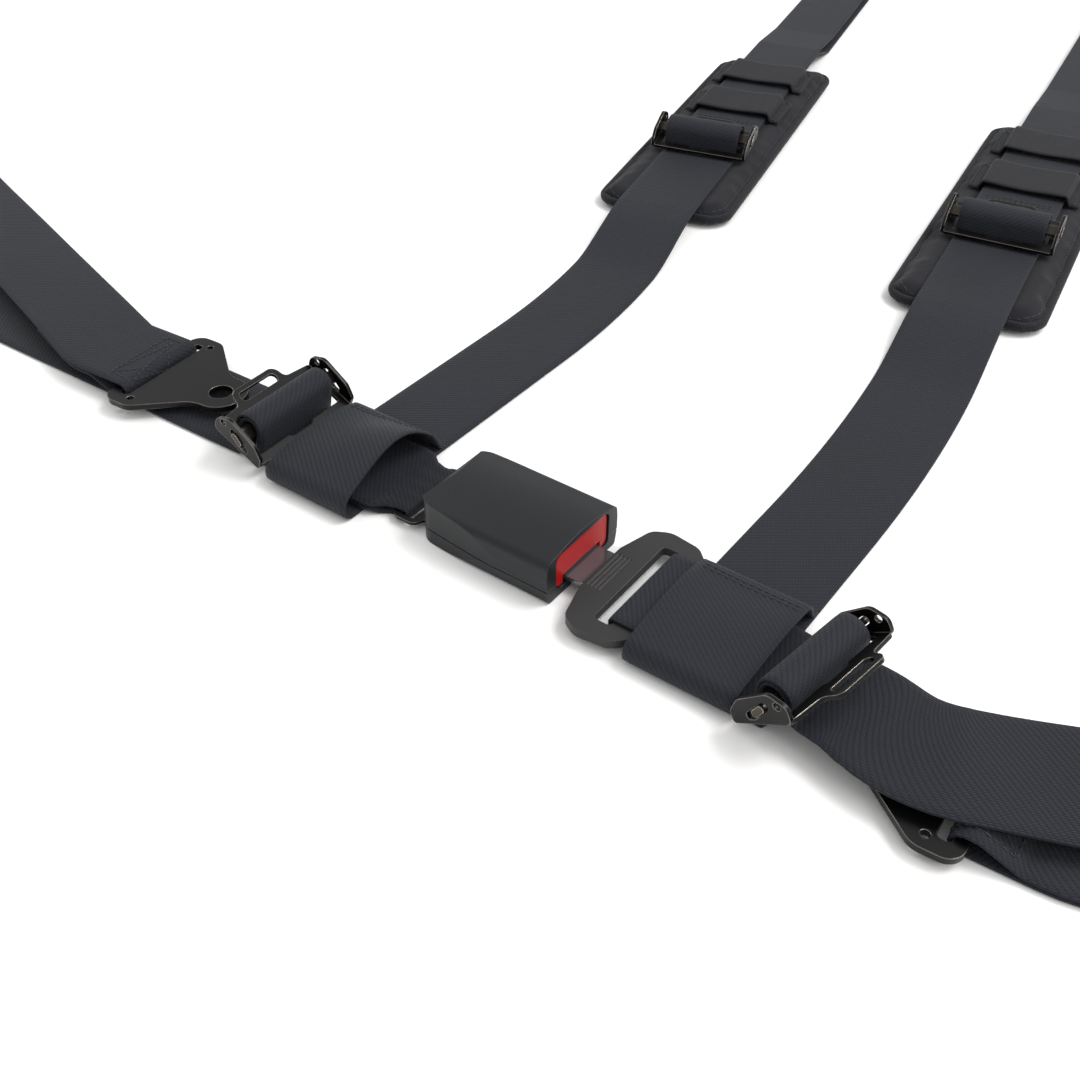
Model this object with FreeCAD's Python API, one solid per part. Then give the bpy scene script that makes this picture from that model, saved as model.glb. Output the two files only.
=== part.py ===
"""Four-point racing harness, laid out flat and folded as it is stored.

Everything is drawn in millimetres with the mouth of the buckle at x = 0, the tongue towards +X,
the shoulder belts towards +Y and the table at z = 0.  save() then moves each piece so that the
origin is the middle of the buckle's underside.
"""
import FreeCAD, Part
import math
import os

V = FreeCAD.Vector
UP = V(0, 0, 1)

# ---------------------------------------------------------------- driving dimensions
GAP = 0.3                    # clearance between pieces that move past each other
TABLE_GAP = 0.3              # lowest webbing above the table

WEB_WIDTH = 48.0             # two inch webbing
WEB_THICKNESS = 1.4
LAYER = WEB_THICKNESS + 0.4  # spacing of two webbing layers lying on each other

BUCKLE_LENGTH = 70.0
BUCKLE_FRONT_WIDTH = 50.0
BUCKLE_REAR_WIDTH = 43.0
BUCKLE_HEIGHT = 25.0
SHELL_WALL = 2.4
PARTING_HEIGHT = 7.0
MOUTH_WIDTH = 37.0
MOUTH_LOW = 3.4
MOUTH_HIGH = 20.8

FRAME_PLATE = 1.5            # steel of the buckle's inner frame
FRAME_BASE_LOW = 2.3
FRAME_WIDTH = 33.0
REAR_NECK = 30.0
REAR_PLATE_WIDTH = 41.0
REAR_PLATE_END = -BUCKLE_LENGTH - 18.0
REAR_BAR = 5.5
REAR_SLOT = 6.0
PINCHED_WEB_WIDTH = 34.5     # the belt is gathered where it passes the buckle's frame

BUTTON_TRAVEL = 5.0
BUTTON_SPRING_Y = 12.6       # each button spring's distance from the middle
LATCH_STROKE = 8.0
BLADE_WIDTH = 23.0
BLADE_THICKNESS = 2.2
TONGUE_COVER_LOW = TABLE_GAP + WEB_THICKNESS + LAYER + 0.45
TONGUE_COVER_HIGH = TONGUE_COVER_LOW + 3.95
BLADE_LOW = TONGUE_COVER_LOW + 0.65
BLADE_TIP = -29.7
PAWL_PIVOT_X = -45.0
PAWL_PIVOT_Z = 14.5
PAWL_PIN_RADIUS = 1.5
PAWL_TOOTH_REAR = -24.6      # back of the pawl's tooth, which stands in the blade's window

TONGUE_WIDTH = 71.0
TONGUE_NECK = 8.5
TONGUE_END = 41.2
TONGUE_SLOT_START = 22.7
TONGUE_SLOT = 8.0

ADJUSTER_WIDTH = 63.0
ADJUSTER_PLATE = 1.8
ADJUSTER_TAIL = 15.0         # from the bar's axis to the frame's inner end
ADJUSTER_HEAD = 13.0         # from the bar's axis to the end of the side flanges
TAB_REACH = 22.0             # from the bar's axis to the end of the lifting tab
TAB_WIDTH = 30.0
BAR_ABOVE_PLATE = 4.6
SLIDE_BAR_LENGTH = 6.6
SLIDE_BAR_THICKNESS = 3.0
SLIDE_TRAVEL = 1.2
ROLL_INNER = 6.0             # middle of the sewn loop's webbing round the slide bar
ROLL_OUTER = ROLL_INNER + LAYER       # middle of the belt that runs over it

BOLT_HOLE_RADIUS = 5.75      # for a 7/16 inch seat belt bolt
PLATE_THICKNESS = 3.0
PLATE_TIP_RADIUS = 13.0
PLATE_WIDTH = 66.0
PLATE_BAR = 5.0              # the plate's end bar that the belt is sewn round
PLATE_SLOT = 5.5
PLATE_SLOT_LENGTH = 52.0
PLATE_BAR_REACH = 44.0       # from the bolt hole to the middle of the end bar
BAR_LOOP = 4.0               # middle of the webbing loop round a bar that turns in it

PAD_WIDTH = 86.0
PAD_LENGTH = 270.0
PAD_THICKNESS = 10.0
PAD_SKIN = 1.2
PAD_TRAVEL = 15.0            # how far each pad can slide up its belt as laid

# the places of the pieces on the table
LEFT_BAR_X = -BUCKLE_LENGTH - 95.0    # axis of the left lap adjuster's slide bar
RIGHT_BAR_X = 105.9
RIGHT_BAR_Y = -8.4
LEFT_BAR_Z = 3 * LAYER + 11.9         # height of each lap adjuster's slide bar
RIGHT_BAR_Z = 3 * LAYER + 12.6
LEFT_LAP_TURN = 1.75         # degrees that the left lap belt runs off the X axis
RIGHT_LAP_BEND_X = 52.0      # the right lap belt bends towards its adjuster here
LEFT_TILT = 28.0             # degrees that each adjuster leans up on its belt
RIGHT_TILT = 36.0
SHOULDER_TILT = 14.0

LEFT_SLEEVE_X = -BUCKLE_LENGTH - 54.0 # middle of each shoulder belt where it wraps the lap belt
RIGHT_SLEEVE_X = 65.6
SLEEVE_TOP = TONGUE_COVER_HIGH + 1.5 * WEB_THICKNESS + 0.9
SLEEVE_NEAR = -34.0
SLEEVE_FAR = 26.5
LEFT_FOLD = (-BUCKLE_LENGTH - 520.0, 80.0)   # where each lap belt folds back towards its anchor plate
RIGHT_FOLD = (402.0, 64.0)
RIGHT_DIP = (154.0, -20.5)
RIGHT_UPPER_BEND = (296.0, 38.0)
RIGHT_LOWER_BEND = (285.0, 7.0)
LEFT_PLATE_BAR = (-BUCKLE_LENGTH - 184.0, -6.5)
LEFT_PLATE_TURN = 184.0
LEFT_PLATE_Z = TABLE_GAP + WEB_THICKNESS + 0.5 + BAR_LOOP + WEB_THICKNESS / 2
RIGHT_PLATE_BAR = (176.0, -17.0)
RIGHT_PLATE_TURN = 3.0
RIGHT_PLATE_Z = TABLE_GAP + WEB_THICKNESS / 2 + BAR_LOOP
PLATE_RUN_IN = 22.0          # straight webbing beside each lap anchor plate's bar

ADJUSTER_RUN = 110.0         # from the end of the belt's bend to the shoulder adjuster's bar
PAD_RUN = 24.0               # from the end of the belt's bend to the pad's lower edge
PLATE_RUN = 640.0            # from the end of the belt's bend to the shoulder plate's end bar
PAD_LIFT = TABLE_GAP + PAD_THICKNESS + 0.5
SHOULDER_BAR_Z = PAD_LIFT + WEB_THICKNESS + 0.6 + 9.9
SHOULDER_PLATE_Z = TABLE_GAP + WEB_THICKNESS / 2 + BAR_LOOP
LEFT_SHOULDER = (LEFT_SLEEVE_X, 12.5, 95.0, 270.0)    # place, turn, start and end of the turn
RIGHT_SHOULDER = (RIGHT_SLEEVE_X, 8.0, 40.0, 260.0)


# ---------------------------------------------------------------- drawing helpers
def walked(points, shift=0.0, closed=False):
    """Edges of a line through points (x, y, corner radius), moved sideways to its left by shift."""
    count = len(points)
    places = [V(p[0], p[1], 0) for p in points]
    corners = range(count) if closed else range(1, count - 1)
    cuts = {}
    for i in corners:
        before = places[i] - places[i - 1]
        after = places[(i + 1) % count] - places[i]
        before.normalize()
        after.normalize()
        turn = math.atan2(before.x * after.y - before.y * after.x, before.dot(after))
        radius = points[i][2]
        reach = radius * abs(math.tan(turn / 2))
        side = 1 if turn > 0 else -1
        normal = V(-before.y, before.x, 0)
        enter = places[i] - before * reach
        centre = enter + normal * (side * radius)
        outward = places[i] - centre
        if radius < 1e-6 or abs(turn) < 1e-6:
            bisector = before + after
            bisector.normalize()
            square = V(-bisector.y, bisector.x, 0) * (1 / math.cos(turn / 2))
            cuts[i] = (places[i] + square * shift,)
            continue
        outward.normalize()
        moved = radius - side * shift
        leave = places[i] + after * reach
        cuts[i] = (
            centre + (enter - centre) * (moved / radius),
            centre + outward * moved,
            centre + (leave - centre) * (moved / radius),
        )
    if not closed:
        for i, j in ((0, 1), (count - 1, count - 2)):
            along = (places[j] - places[i]) * (1 if i == 0 else -1)
            along.normalize()
            cuts[i] = (places[i] + V(-along.y, along.x, 0) * shift,)
    edges = []
    order = list(range(count)) + ([0] if closed else [])
    for here, following in zip(order, order[1:]):
        if len(cuts[here]) == 3:
            edges.append(Part.Arc(*cuts[here]).toShape())
        start, end = cuts[here][-1], cuts[following][0]
        if start.distanceToPoint(end) > 1e-6:
            edges.append(Part.LineSegment(start, end).toShape())
    return edges


def outline(points):
    """Closed face from corner points (x, y, corner radius)."""
    return Part.Face(Part.Wire(walked(points, closed=True)))


def slab(points, low, high):
    """Closed outline in plan, from height low to height high."""
    return outline(points).extrude(UP * (high - low)).translated(UP * low)


def circle(x, y, radius):
    return Part.Face(Part.Wire(Part.makeCircle(radius, V(x, y, 0))))


def drill(x, y, radius, low, high):
    return Part.makeCylinder(radius, high - low, V(x, y, low))


def block(x0, x1, y0, y1, z0, z1):
    return Part.makeBox(x1 - x0, y1 - y0, z1 - z0, V(x0, y0, z0))


def rectangle(x0, x1, y0, y1, radius):
    return [(x0, y0, radius), (x1, y0, radius), (x1, y1, radius), (x0, y1, radius)]


def ribbon(points, width, closed=False):
    """Webbing of one thickness along a line, width across it, centred on the drawing plane."""
    half = WEB_THICKNESS / 2
    left = walked(points, half, closed)
    right = walked(points, -half, closed)
    if closed:
        outer, inner = Part.Wire(right), Part.Wire(left)
        if Part.Face(outer).Area < Part.Face(inner).Area:
            outer, inner = inner, outer
        face = Part.Face(outer).cut(Part.Face(inner)).Faces[0]
    else:
        ends = [Part.LineSegment(left[i].Vertexes[k].Point, right[i].Vertexes[k].Point).toShape()
                for i, k in ((0, 0), (-1, -1))]
        face = Part.Face(Part.Wire(Part.__sortEdges__(left + right + ends)))
    return face.extrude(UP * width).translated(UP * (-width / 2))


def flat_ribbon(points, middle):
    """Webbing lying flat at height middle, along a line in plan."""
    left = walked(points, WEB_WIDTH / 2)
    right = walked(points, -WEB_WIDTH / 2)
    ends = [Part.LineSegment(left[i].Vertexes[k].Point, right[i].Vertexes[k].Point).toShape()
            for i, k in ((0, 0), (-1, -1))]
    face = Part.Face(Part.Wire(Part.__sortEdges__(left + right + ends)))
    return face.extrude(UP * WEB_THICKNESS).translated(UP * (middle - WEB_THICKNESS / 2))


def turned(shape, centre, axis, degrees):
    result = shape.copy()
    result.rotate(centre, axis, degrees)
    return result


def stood_up(shape):
    return turned(shape, V(), V(1, 0, 0), 90)


def placed(shape, x, y, z, heading):
    """A piece drawn along +X is turned to its heading and moved to its place."""
    return turned(shape, V(), UP, heading).translated(V(x, y, z))


def joined(*shapes):
    return shapes[0].multiFuse(list(shapes[1:])).removeSplitter()


def without(shape, *tools):
    for tool in tools:
        shape = shape.cut(tool)
    return shape


def helix_spring(length, radius, wire, turns):
    """Coil spring along +X from the origin, its wire inside the given length."""
    line = Part.makeHelix((length - wire) / turns, length - wire, radius)
    section = Part.Wire(Part.makeCircle(wire / 2, V(radius, 0, 0), V(0, 1, 0)))
    coil = Part.Wire(line).makePipeShell([section], True, True)
    return turned(coil, V(), V(0, 1, 0), 90).translated(V(wire / 2, 0, 0))


def save(name, *shapes):
    shape = shapes[0] if len(shapes) == 1 else Part.makeCompound(list(shapes))
    shape.translated(V(BUCKLE_LENGTH / 2, 0, 0)).exportStep("parts/" + name + ".step")


# ---------------------------------------------------------------- buckle
def housing_form(inset, rear_inset=None):
    """The buckle's outer form, shrunk by inset on its sides, top, bottom and rear."""
    rear_inset = inset if rear_inset is None else rear_inset
    rear = -BUCKLE_LENGTH + rear_inset
    front = BUCKLE_FRONT_WIDTH / 2 - inset
    back = BUCKLE_REAR_WIDTH / 2 - inset
    top = BUCKLE_HEIGHT - inset
    shoulder = BUCKLE_HEIGHT - 4.6 - inset
    soften = max(9.0 - inset, 3.0)
    plan = slab([(0, -front, 0), (0, front, 0), (-30, front + 0.3, 200),
                 (rear, back, soften), (rear, -back, soften), (-30, -front - 0.3, 200)],
                inset, BUCKLE_HEIGHT)
    section = outline([(-front + 1.5, inset, 1.6), (front - 1.5, inset, 1.6),
                       (front + 0.5, 9.5, 16), (front - 0.7, shoulder, 4.2),
                       (0, top + 0.3, 80), (-front + 0.7, shoulder, 4.2),
                       (-front - 0.5, 9.5, 16)]).extrude(UP * (BUCKLE_LENGTH + 2))
    section = turned(stood_up(section), V(), UP, 90)
    section = section.translated(V(-BUCKLE_LENGTH - 1, 0, 0))
    if section.BoundBox.XMin < -BUCKLE_LENGTH - 2:
        section = section.translated(V(BUCKLE_LENGTH + 2, 0, 0))
    side = outline([(1, inset, 0), (1, BUCKLE_HEIGHT + 1, 0), (-6, BUCKLE_HEIGHT + 1, 0),
                    (rear, BUCKLE_HEIGHT - inset - 1.0, soften), (rear, inset, 3.0)])
    side = stood_up(side.extrude(UP * 80)).translated(V(0, 40, 0))
    return plan.common(section).common(side)


def buckle_shells():
    """Upper and lower moulding, meeting at a parting line with a fine groove round it."""
    inner_wall = SHELL_WALL
    hollow = housing_form(inner_wall).common(
        block(-BUCKLE_LENGTH, -3.0, -40, 40, 0, BUCKLE_HEIGHT))
    floor = block(-BUCKLE_LENGTH + 4, -3.0, -FRAME_WIDTH / 2 - 1, FRAME_WIDTH / 2 + 1,
                  FRAME_BASE_LOW - GAP, SHELL_WALL + 1)
    mouth = stood_up(outline(rectangle(-MOUTH_WIDTH / 2, MOUTH_WIDTH / 2,
                                       MOUTH_LOW, MOUTH_HIGH, 3.2)).extrude(UP * 12))
    mouth = turned(mouth, V(), UP, 90)
    mouth = mouth.translated(V(1 - mouth.BoundBox.XMax, 0, 0))
    rear_passage = block(-BUCKLE_LENGTH - 1, -BUCKLE_LENGTH + 6, -REAR_NECK / 2 - GAP,
                         REAR_NECK / 2 + GAP, FRAME_BASE_LOW - GAP,
                         FRAME_BASE_LOW + FRAME_PLATE + GAP)
    groove = block(-BUCKLE_LENGTH - 1, 1, -40, 40, PARTING_HEIGHT - 0.35, PARTING_HEIGHT + 0.35)
    groove = groove.cut(housing_form(0.6))
    whole = without(housing_form(0), hollow, floor, mouth, rear_passage, groove)
    upper = whole.common(block(-80, 5, -40, 40, PARTING_HEIGHT, 40))
    lower = whole.common(block(-80, 5, -40, 40, -1, PARTING_HEIGHT))
    thumb_notch = drill(-BUCKLE_LENGTH * 0.45, BUCKLE_FRONT_WIDTH / 2 + 10.4, 10.5, -1,
                        PARTING_HEIGHT - 3.4)
    far_notch = drill(-BUCKLE_LENGTH * 0.45, -BUCKLE_FRONT_WIDTH / 2 - 10.4, 10.5, -1,
                      PARTING_HEIGHT - 3.4)
    save("upper_shell", upper)
    save("lower_shell", without(lower, thumb_notch, far_notch))


def buckle_frame():
    """Bent steel channel that carries the latch, with the belt's slot behind the housing."""
    low, high = FRAME_BASE_LOW, FRAME_BASE_LOW + FRAME_PLATE
    half, neck, ear = FRAME_WIDTH / 2, REAR_NECK / 2, REAR_PLATE_WIDTH / 2
    rear = REAR_PLATE_END
    base = slab([(-4, -half, 1), (-4, half, 1), (rear + 26, half, 2), (rear + 23, neck, 2),
                 (rear + 16.5, neck, 2), (rear + 14, ear, 4), (rear, ear, 6), (rear, -ear, 6),
                 (rear + 14, -ear, 4), (rear + 16.5, -neck, 2), (rear + 23, -neck, 2),
                 (rear + 26, -half, 2)],
                low, high)
    slot_start = rear + REAR_BAR
    reach = PINCHED_WEB_WIDTH / 2 + 0.9
    slot = slab(rectangle(slot_start, slot_start + REAR_SLOT, -reach, reach, 1.0), 0, 10)
    wall = outline([(-60, low, 0), (-24, low, 0), (-26, 8, 1), (-38, 9, 3), (-40, 17.5, 2.5),
                    (-50, 17.5, 2.5), (-52, 9, 3), (-60, 8, 1)])
    wall = stood_up(wall.extrude(UP * FRAME_PLATE))
    left = wall.translated(V(0, half, 0))
    right = wall.translated(V(0, -half + FRAME_PLATE, 0))
    seat = Part.makeCylinder(PAWL_PIN_RADIUS, 60, V(PAWL_PIVOT_X, -30, PAWL_PIVOT_Z), V(0, 1, 0))
    stop = block(-36, -34, BUTTON_SPRING_Y - 2.2, half, 7.4, 13.0)
    far_stop = block(-36, -34, -half, -BUTTON_SPRING_Y + 2.2, 7.4, 13.0)
    back_stop = block(-62, -60, -6, 6, high, 10.0)
    frame = joined(base.cut(slot), left, right, stop, far_stop, back_stop).cut(seat)
    save("buckle_frame", frame)


def press_button():
    """Red button that fills the mouth above the blade, on two arms that meet its springs."""
    clear = 0.6
    half = MOUTH_WIDTH / 2 - clear
    low, high = MOUTH_LOW + clear, MOUTH_HIGH - clear
    face = stood_up(outline(rectangle(-half, half, low, high, 2.9)).extrude(UP * 3.2))
    face = turned(face, V(), UP, 90)
    face = face.translated(V(-0.7 - face.BoundBox.XMax, 0, 0))
    passage = block(-10, 1, -BLADE_WIDTH / 2 - 1.6, BLADE_WIDTH / 2 + 1.6, 0, BLADE_LOW + 3.4)
    arms = [block(-18, -2.5, side * half - (2.2 if side > 0 else 0),
                  side * half + (0 if side > 0 else 2.2), 6.0, 17.0) for side in (-1, 1)]
    reach = half - BUTTON_SPRING_Y + 2.4
    heels = [block(-18, -16, side * half - (reach if side > 0 else 0),
                   side * half + (0 if side > 0 else reach), 7.4, 13.0) for side in (-1, 1)]
    save("press_button", joined(face.cut(passage), *arms, *heels))
    spring = helix_spring(34 - 18 - 0.2, 1.7, 0.6, 7)
    save("button_springs", *[spring.translated(V(-33.9, side * BUTTON_SPRING_Y, 10.0)) for side in (-1, 1)])


def latch_mechanism():
    """Pawl on its pin, its spring, and the ejector that the blade pushes back."""
    x, z = PAWL_PIVOT_X, PAWL_PIVOT_Z
    profile = [(x - 3.2, z - 3.2, 2.5), (x - 3.2, z + 3.2, 2.5), (x + 6, z + 3.2, 2.5),
               (-19.5, z + 1.2, 1), (-19.6, 10.3, 0.4), (-24.3, 10.3, 0.4), (-24.6, z - 1.2, 1),
               (x + 6, z - 1.0, 2), (x + 3.2, z - 3.2, 2.5)]
    pawl = stood_up(outline(profile).extrude(UP * 16)).translated(V(0, 8, 0))
    bore = Part.makeCylinder(PAWL_PIN_RADIUS + 0.05, 40, V(x, -20, z), V(0, 1, 0))
    save("latch_pawl", pawl.cut(bore))
    pin = Part.makeCylinder(PAWL_PIN_RADIUS, FRAME_WIDTH, V(x, -FRAME_WIDTH / 2, z), V(0, 1, 0))
    save("latch_pin", pin)
    leaf = [(-58, 18.9, 0), (-52, 18.9, 3), (-34, 18.6, 6), (-27, 17.2, 0)]
    strip = walked(leaf, 0.25) + walked(leaf, -0.25)
    ends = [Part.LineSegment(V(*a), V(*b)).toShape() for a, b in leaf_ends(leaf)]
    face = Part.Face(Part.Wire(Part.__sortEdges__(strip + ends)))
    save("latch_spring", stood_up(face.extrude(UP * 10)).translated(V(0, 5, 0)))
    front = BLADE_TIP - GAP
    ejector = joined(block(front - 8, front, -7, 7, 4.2, 9.0),
                     block(front - 14, front - 8, -3.5, 3.5, 4.2, 9.0))
    rear = front - 14
    save("ejector", ejector)
    spring = helix_spring(rear + 60 - 0.2, 1.9, 0.6, 6)
    save("ejector_spring", spring.translated(V(-59.9, 0, 6.6)))


def leaf_ends(points):
    """End caps of the thin spring strip."""
    first, last = walked(points, 0.25), walked(points, -0.25)
    pairs = []
    for i, k in ((0, 0), (-1, -1)):
        pairs.append((tuple(first[i].Vertexes[k].Point), tuple(last[i].Vertexes[k].Point)))
    return pairs


# ---------------------------------------------------------------- tongue
def tongue_outline(inset):
    """Plan of the tongue's moulded grip, from its neck to the bar behind the belt's slot."""
    half = TONGUE_WIDTH / 2 - inset
    neck = 14.5 - inset
    start, end = TONGUE_NECK + inset, TONGUE_END - inset
    side = [(start, neck, 2), (start + 4.5, half - 4, 6), (start + 12, half, 9),
            (end - 6, half - 2, 8), (end, half - 8, 5)]
    return [(x, -y, r) for x, y, r in side] + side[::-1]


def tongue():
    """Steel tongue with its latch window, and the moulded cover with grip ribs."""
    low, high = BLADE_LOW, BLADE_LOW + BLADE_THICKNESS
    half = BLADE_WIDTH / 2
    slot = rectangle(TONGUE_SLOT_START, TONGUE_SLOT_START + TONGUE_SLOT, -26, 26, 1.8)
    slot_in_plate = rectangle(TONGUE_SLOT_START - 1.2, TONGUE_SLOT_START + TONGUE_SLOT + 1.2,
                              -27.2, 27.2, 2)
    blade = slab([(BLADE_TIP, -half + 3, 3), (BLADE_TIP, half - 3, 3), (BLADE_TIP + 5, half, 4),
                  (TONGUE_NECK + 6, half, 0), (TONGUE_NECK + 6, -half, 0),
                  (BLADE_TIP + 5, -half, 4)], low, high)
    body = slab(tongue_outline(2.0), low, high)
    window_start = PAWL_TOOTH_REAR + LATCH_STROKE - 3.4
    window = slab(rectangle(window_start, window_start + 9.0, -8.6, 8.6, 0.8), 0, 20)
    plate = joined(blade, body).cut(slab(slot_in_plate, 0, 20)).cut(window)
    save("tongue_plate", plate)
    cover = slab(tongue_outline(0), TONGUE_COVER_LOW, TONGUE_COVER_HIGH)
    ribs = [block(TONGUE_NECK + 1.6 + 1.9 * i, TONGUE_NECK + 2.4 + 1.9 * i, -11.5, 11.5,
                  TONGUE_COVER_HIGH - 0.5, TONGUE_COVER_HIGH + 1) for i in range(4)]
    hollow = joined(slab(tongue_outline(2.0), low, high),
                    slab(rectangle(-5, TONGUE_NECK + 7, -half, half, 0), low, high))
    inside = hollow.cut(slab(slot_in_plate, 0, 20))
    save("tongue_cover", without(cover, inside, slab(slot, 0, 20), *ribs))


# ---------------------------------------------------------------- adjusters
def adjuster_frame():
    """Pressed three-bar frame round the slide bar's axis, its lifting tab towards +X."""
    low = -BAR_ABOVE_PLATE - ADJUSTER_PLATE / 2
    high = low + ADJUSTER_PLATE
    half = ADJUSTER_WIDTH / 2
    tail, head = -ADJUSTER_TAIL, ADJUSTER_HEAD
    base = slab([(tail, -half, 3), (head, -half, 4), (head + 1.5, -TAB_WIDTH / 2, 3),
                 (TAB_REACH, -TAB_WIDTH / 2 + 1, 4.5), (TAB_REACH, TAB_WIDTH / 2 - 1, 4.5),
                 (head + 1.5, TAB_WIDTH / 2, 3), (head, half, 4), (tail, half, 3)], low, high)
    inner, outer, side = tail + 4.5, head - 4.2, half - 5
    window = slab([(inner, -side, 1.5), (inner, -8, 0.6), (inner - 1.6, -6, 0.6),
                   (inner - 1.6, 6, 0.6), (inner, 8, 0.6), (inner, side, 1.5),
                   (outer, side, 1.5), (outer, 8, 0.6), (outer + 1.6, 6, 0.6),
                   (outer + 1.6, -6, 0.6), (outer, -8, 0.6), (outer, -side, 1.5)],
                  low - 1, high + 1)
    grip = slab(rectangle(TAB_REACH - 7.6, TAB_REACH - 2.6, -11.5, 11.5, 2.4), low - 1, high + 1)
    side = outline([(tail, low, 1.2), (head, low, 3), (head + 0.6, high + 5, 4),
                    (head - 6, high + 10.4, 5), (tail + 6, high + 8.0, 5),
                    (tail + 0.5, high + 3.5, 3)])
    rise = math.radians(25)
    reach = SLIDE_TRAVEL + SLIDE_BAR_LENGTH / 2 - SLIDE_BAR_THICKNESS / 2 + 0.4
    free = reach + 2.2
    thick = SLIDE_BAR_THICKNESS / 2 + 0.35
    along = V(math.cos(rise), math.sin(rise), 0)
    across = V(-math.sin(rise), math.cos(rise), 0)
    slot_points = []
    for end, edge in ((-free - thick, -thick), (reach + thick, -thick),
                      (reach + thick, thick), (-free - thick, thick)):
        spot = along * end + across * edge
        slot_points.append((spot.x, spot.y, thick * 0.98))
    hole = circle(head - 3.4, high + 5.6, 1.6)
    side = side.cut(outline(slot_points)).cut(hole)
    flange = stood_up(side.extrude(UP * ADJUSTER_PLATE))
    far = flange.translated(V(0, half, 0))
    near = flange.translated(V(0, -half + ADJUSTER_PLATE, 0))
    return joined(without(base, window, grip), near, far)


def slide_bar():
    """Flat bar with rounded edges that the belt rolls round; its ends ride in the flanges."""
    half_long, half_thick = SLIDE_BAR_LENGTH / 2, SLIDE_BAR_THICKNESS / 2
    bar = outline(rectangle(-half_long, half_long, -half_thick, half_thick, half_thick * 0.9))
    bar = turned(bar, V(), UP, 25)
    length = ADJUSTER_WIDTH + 1.6
    return stood_up(bar.extrude(UP * length)).translated(V(0, length / 2, 0))


def adjuster(name, x, y, z, heading, tilt):
    """Frame and slide bar, leaning up by tilt towards the tab and turned to the belt."""
    for part, shape in (("frame", adjuster_frame()), ("slide_bar", slide_bar())):
        leaning = turned(shape, V(), V(0, 1, 0), -tilt)
        save(name + "_" + part, placed(leaning, x, y, z, heading))


# ---------------------------------------------------------------- anchor plates
def anchor_plate():
    """Bolt-in plate: bolt hole at the origin, bar of the belt's slot towards +X."""
    half = PLATE_WIDTH / 2
    bar = PLATE_BAR_REACH
    slot_far = bar - PLATE_BAR / 2
    slot_near = slot_far - PLATE_SLOT
    end = bar + PLATE_BAR / 2
    tip = PLATE_TIP_RADIUS
    body = slab([(-tip, -tip, tip * 0.98), (6, -tip, 15), (slot_near - 6, -half, 9),
                 (end, -half, 7), (end, half, 7), (slot_near - 6, half, 9),
                 (6, tip, 15), (-tip, tip, tip * 0.98)],
                -PLATE_THICKNESS / 2, PLATE_THICKNESS / 2)
    slot = slab(rectangle(slot_near, slot_far, -PLATE_SLOT_LENGTH / 2, PLATE_SLOT_LENGTH / 2, 2),
                -5, 5)
    bolt = drill(0, 0, BOLT_HOLE_RADIUS, -5, 5)
    ears = [drill(slot_near - 3, side * (half - 6), 1.8, -5, 5) for side in (-1, 1)]
    return without(body, slot, bolt, *ears)


# ---------------------------------------------------------------- lap belts
def sewn_leg(bar, z, start):
    """Sewn end of a lap belt: round the slide bar at (bar, z), down and along to start."""
    low = TABLE_GAP + WEB_THICKNESS / 2
    under_sleeve = low + LAYER + 0.1
    return [(bar - 0.2, z - ROLL_INNER, 0), (bar + ROLL_INNER, z - ROLL_INNER, 5.6),
            (bar + ROLL_INNER, z + ROLL_INNER, 5.9), (bar - ROLL_INNER - 0.5, z + ROLL_INNER, 4.7),
            (bar - 0.8, low, 3.8), (bar - 6.5, low, 2), (bar - 12, under_sleeve, 3),
            (start, under_sleeve, 0)]


def running_leg(bar, z, start, height, exit_height, exit_run):
    """The belt coming back at height, under the frame, over the slide bar and out."""
    second = TABLE_GAP + WEB_THICKNESS / 2 + LAYER
    over_sleeve = second + LAYER + 0.5
    return [(start, height, 0), (bar - 24 - abs(height - over_sleeve) * 3, height, 8),
            (bar - 22, over_sleeve, 8), (bar - 12.5, over_sleeve, 3), (bar - 7.5, second, 2),
            (bar - 3.0, second, 2.0),
            (bar - ROLL_OUTER, z + ROLL_OUTER, 5.9), (bar + ROLL_OUTER, z + ROLL_OUTER, 7.4),
            (bar + ROLL_OUTER + 0.2, exit_height, 4), (bar + exit_run, exit_height, 0)]


def buckle_loop(leg, loop_low, loop_top, start):
    """Fold of the lap belt round the bar of the buckle or the tongue, at u = leg."""
    under_sleeve = TABLE_GAP + WEB_THICKNESS / 2 + LAYER + 0.1
    step = [] if loop_low == under_sleeve else [(start - 1, under_sleeve, 3),
                                                (start - 5, loop_low, 3)]
    return [(start, under_sleeve, 0)] + step + [(leg, loop_low, 1.35), (leg, loop_top, 1.35),
                                                (start, loop_top, 0)]


def world_point(origin_x, heading, along, across=0.0):
    angle = math.radians(heading)
    return (origin_x + along * math.cos(angle) - across * math.sin(angle),
            along * math.sin(angle) + across * math.cos(angle))


def fold(x, y, heading, low, high):
    """Webbing turning back on itself, bulging towards the heading."""
    reach = (high - low) / 2
    line = [(-6, low, 0), (reach, low, reach * 0.98), (reach, high, reach * 0.98), (-6, high, 0)]
    return placed(stood_up(ribbon(line, WEB_WIDTH)), x, y, 0, heading)


def bar_loop(tail_side):
    """Belt end sewn round a bar at the origin; the tail meets the belt from the side below or above."""
    r = BAR_LOOP
    main, tail = r * tail_side, -r * tail_side
    meet = main - LAYER * tail_side
    line = [(PLATE_RUN_IN, main, 0), (-r, main, r * 0.98), (-r, tail, r * 0.98), (6, tail, 4),
            (6 + 2.2 * abs(meet - tail), meet, 4), (PLATE_RUN_IN, meet, 0)]
    return stood_up(ribbon(line, WEB_WIDTH))


def bearing(start, end):
    return math.degrees(math.atan2(end[1] - start[1], end[0] - start[0]))


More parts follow.
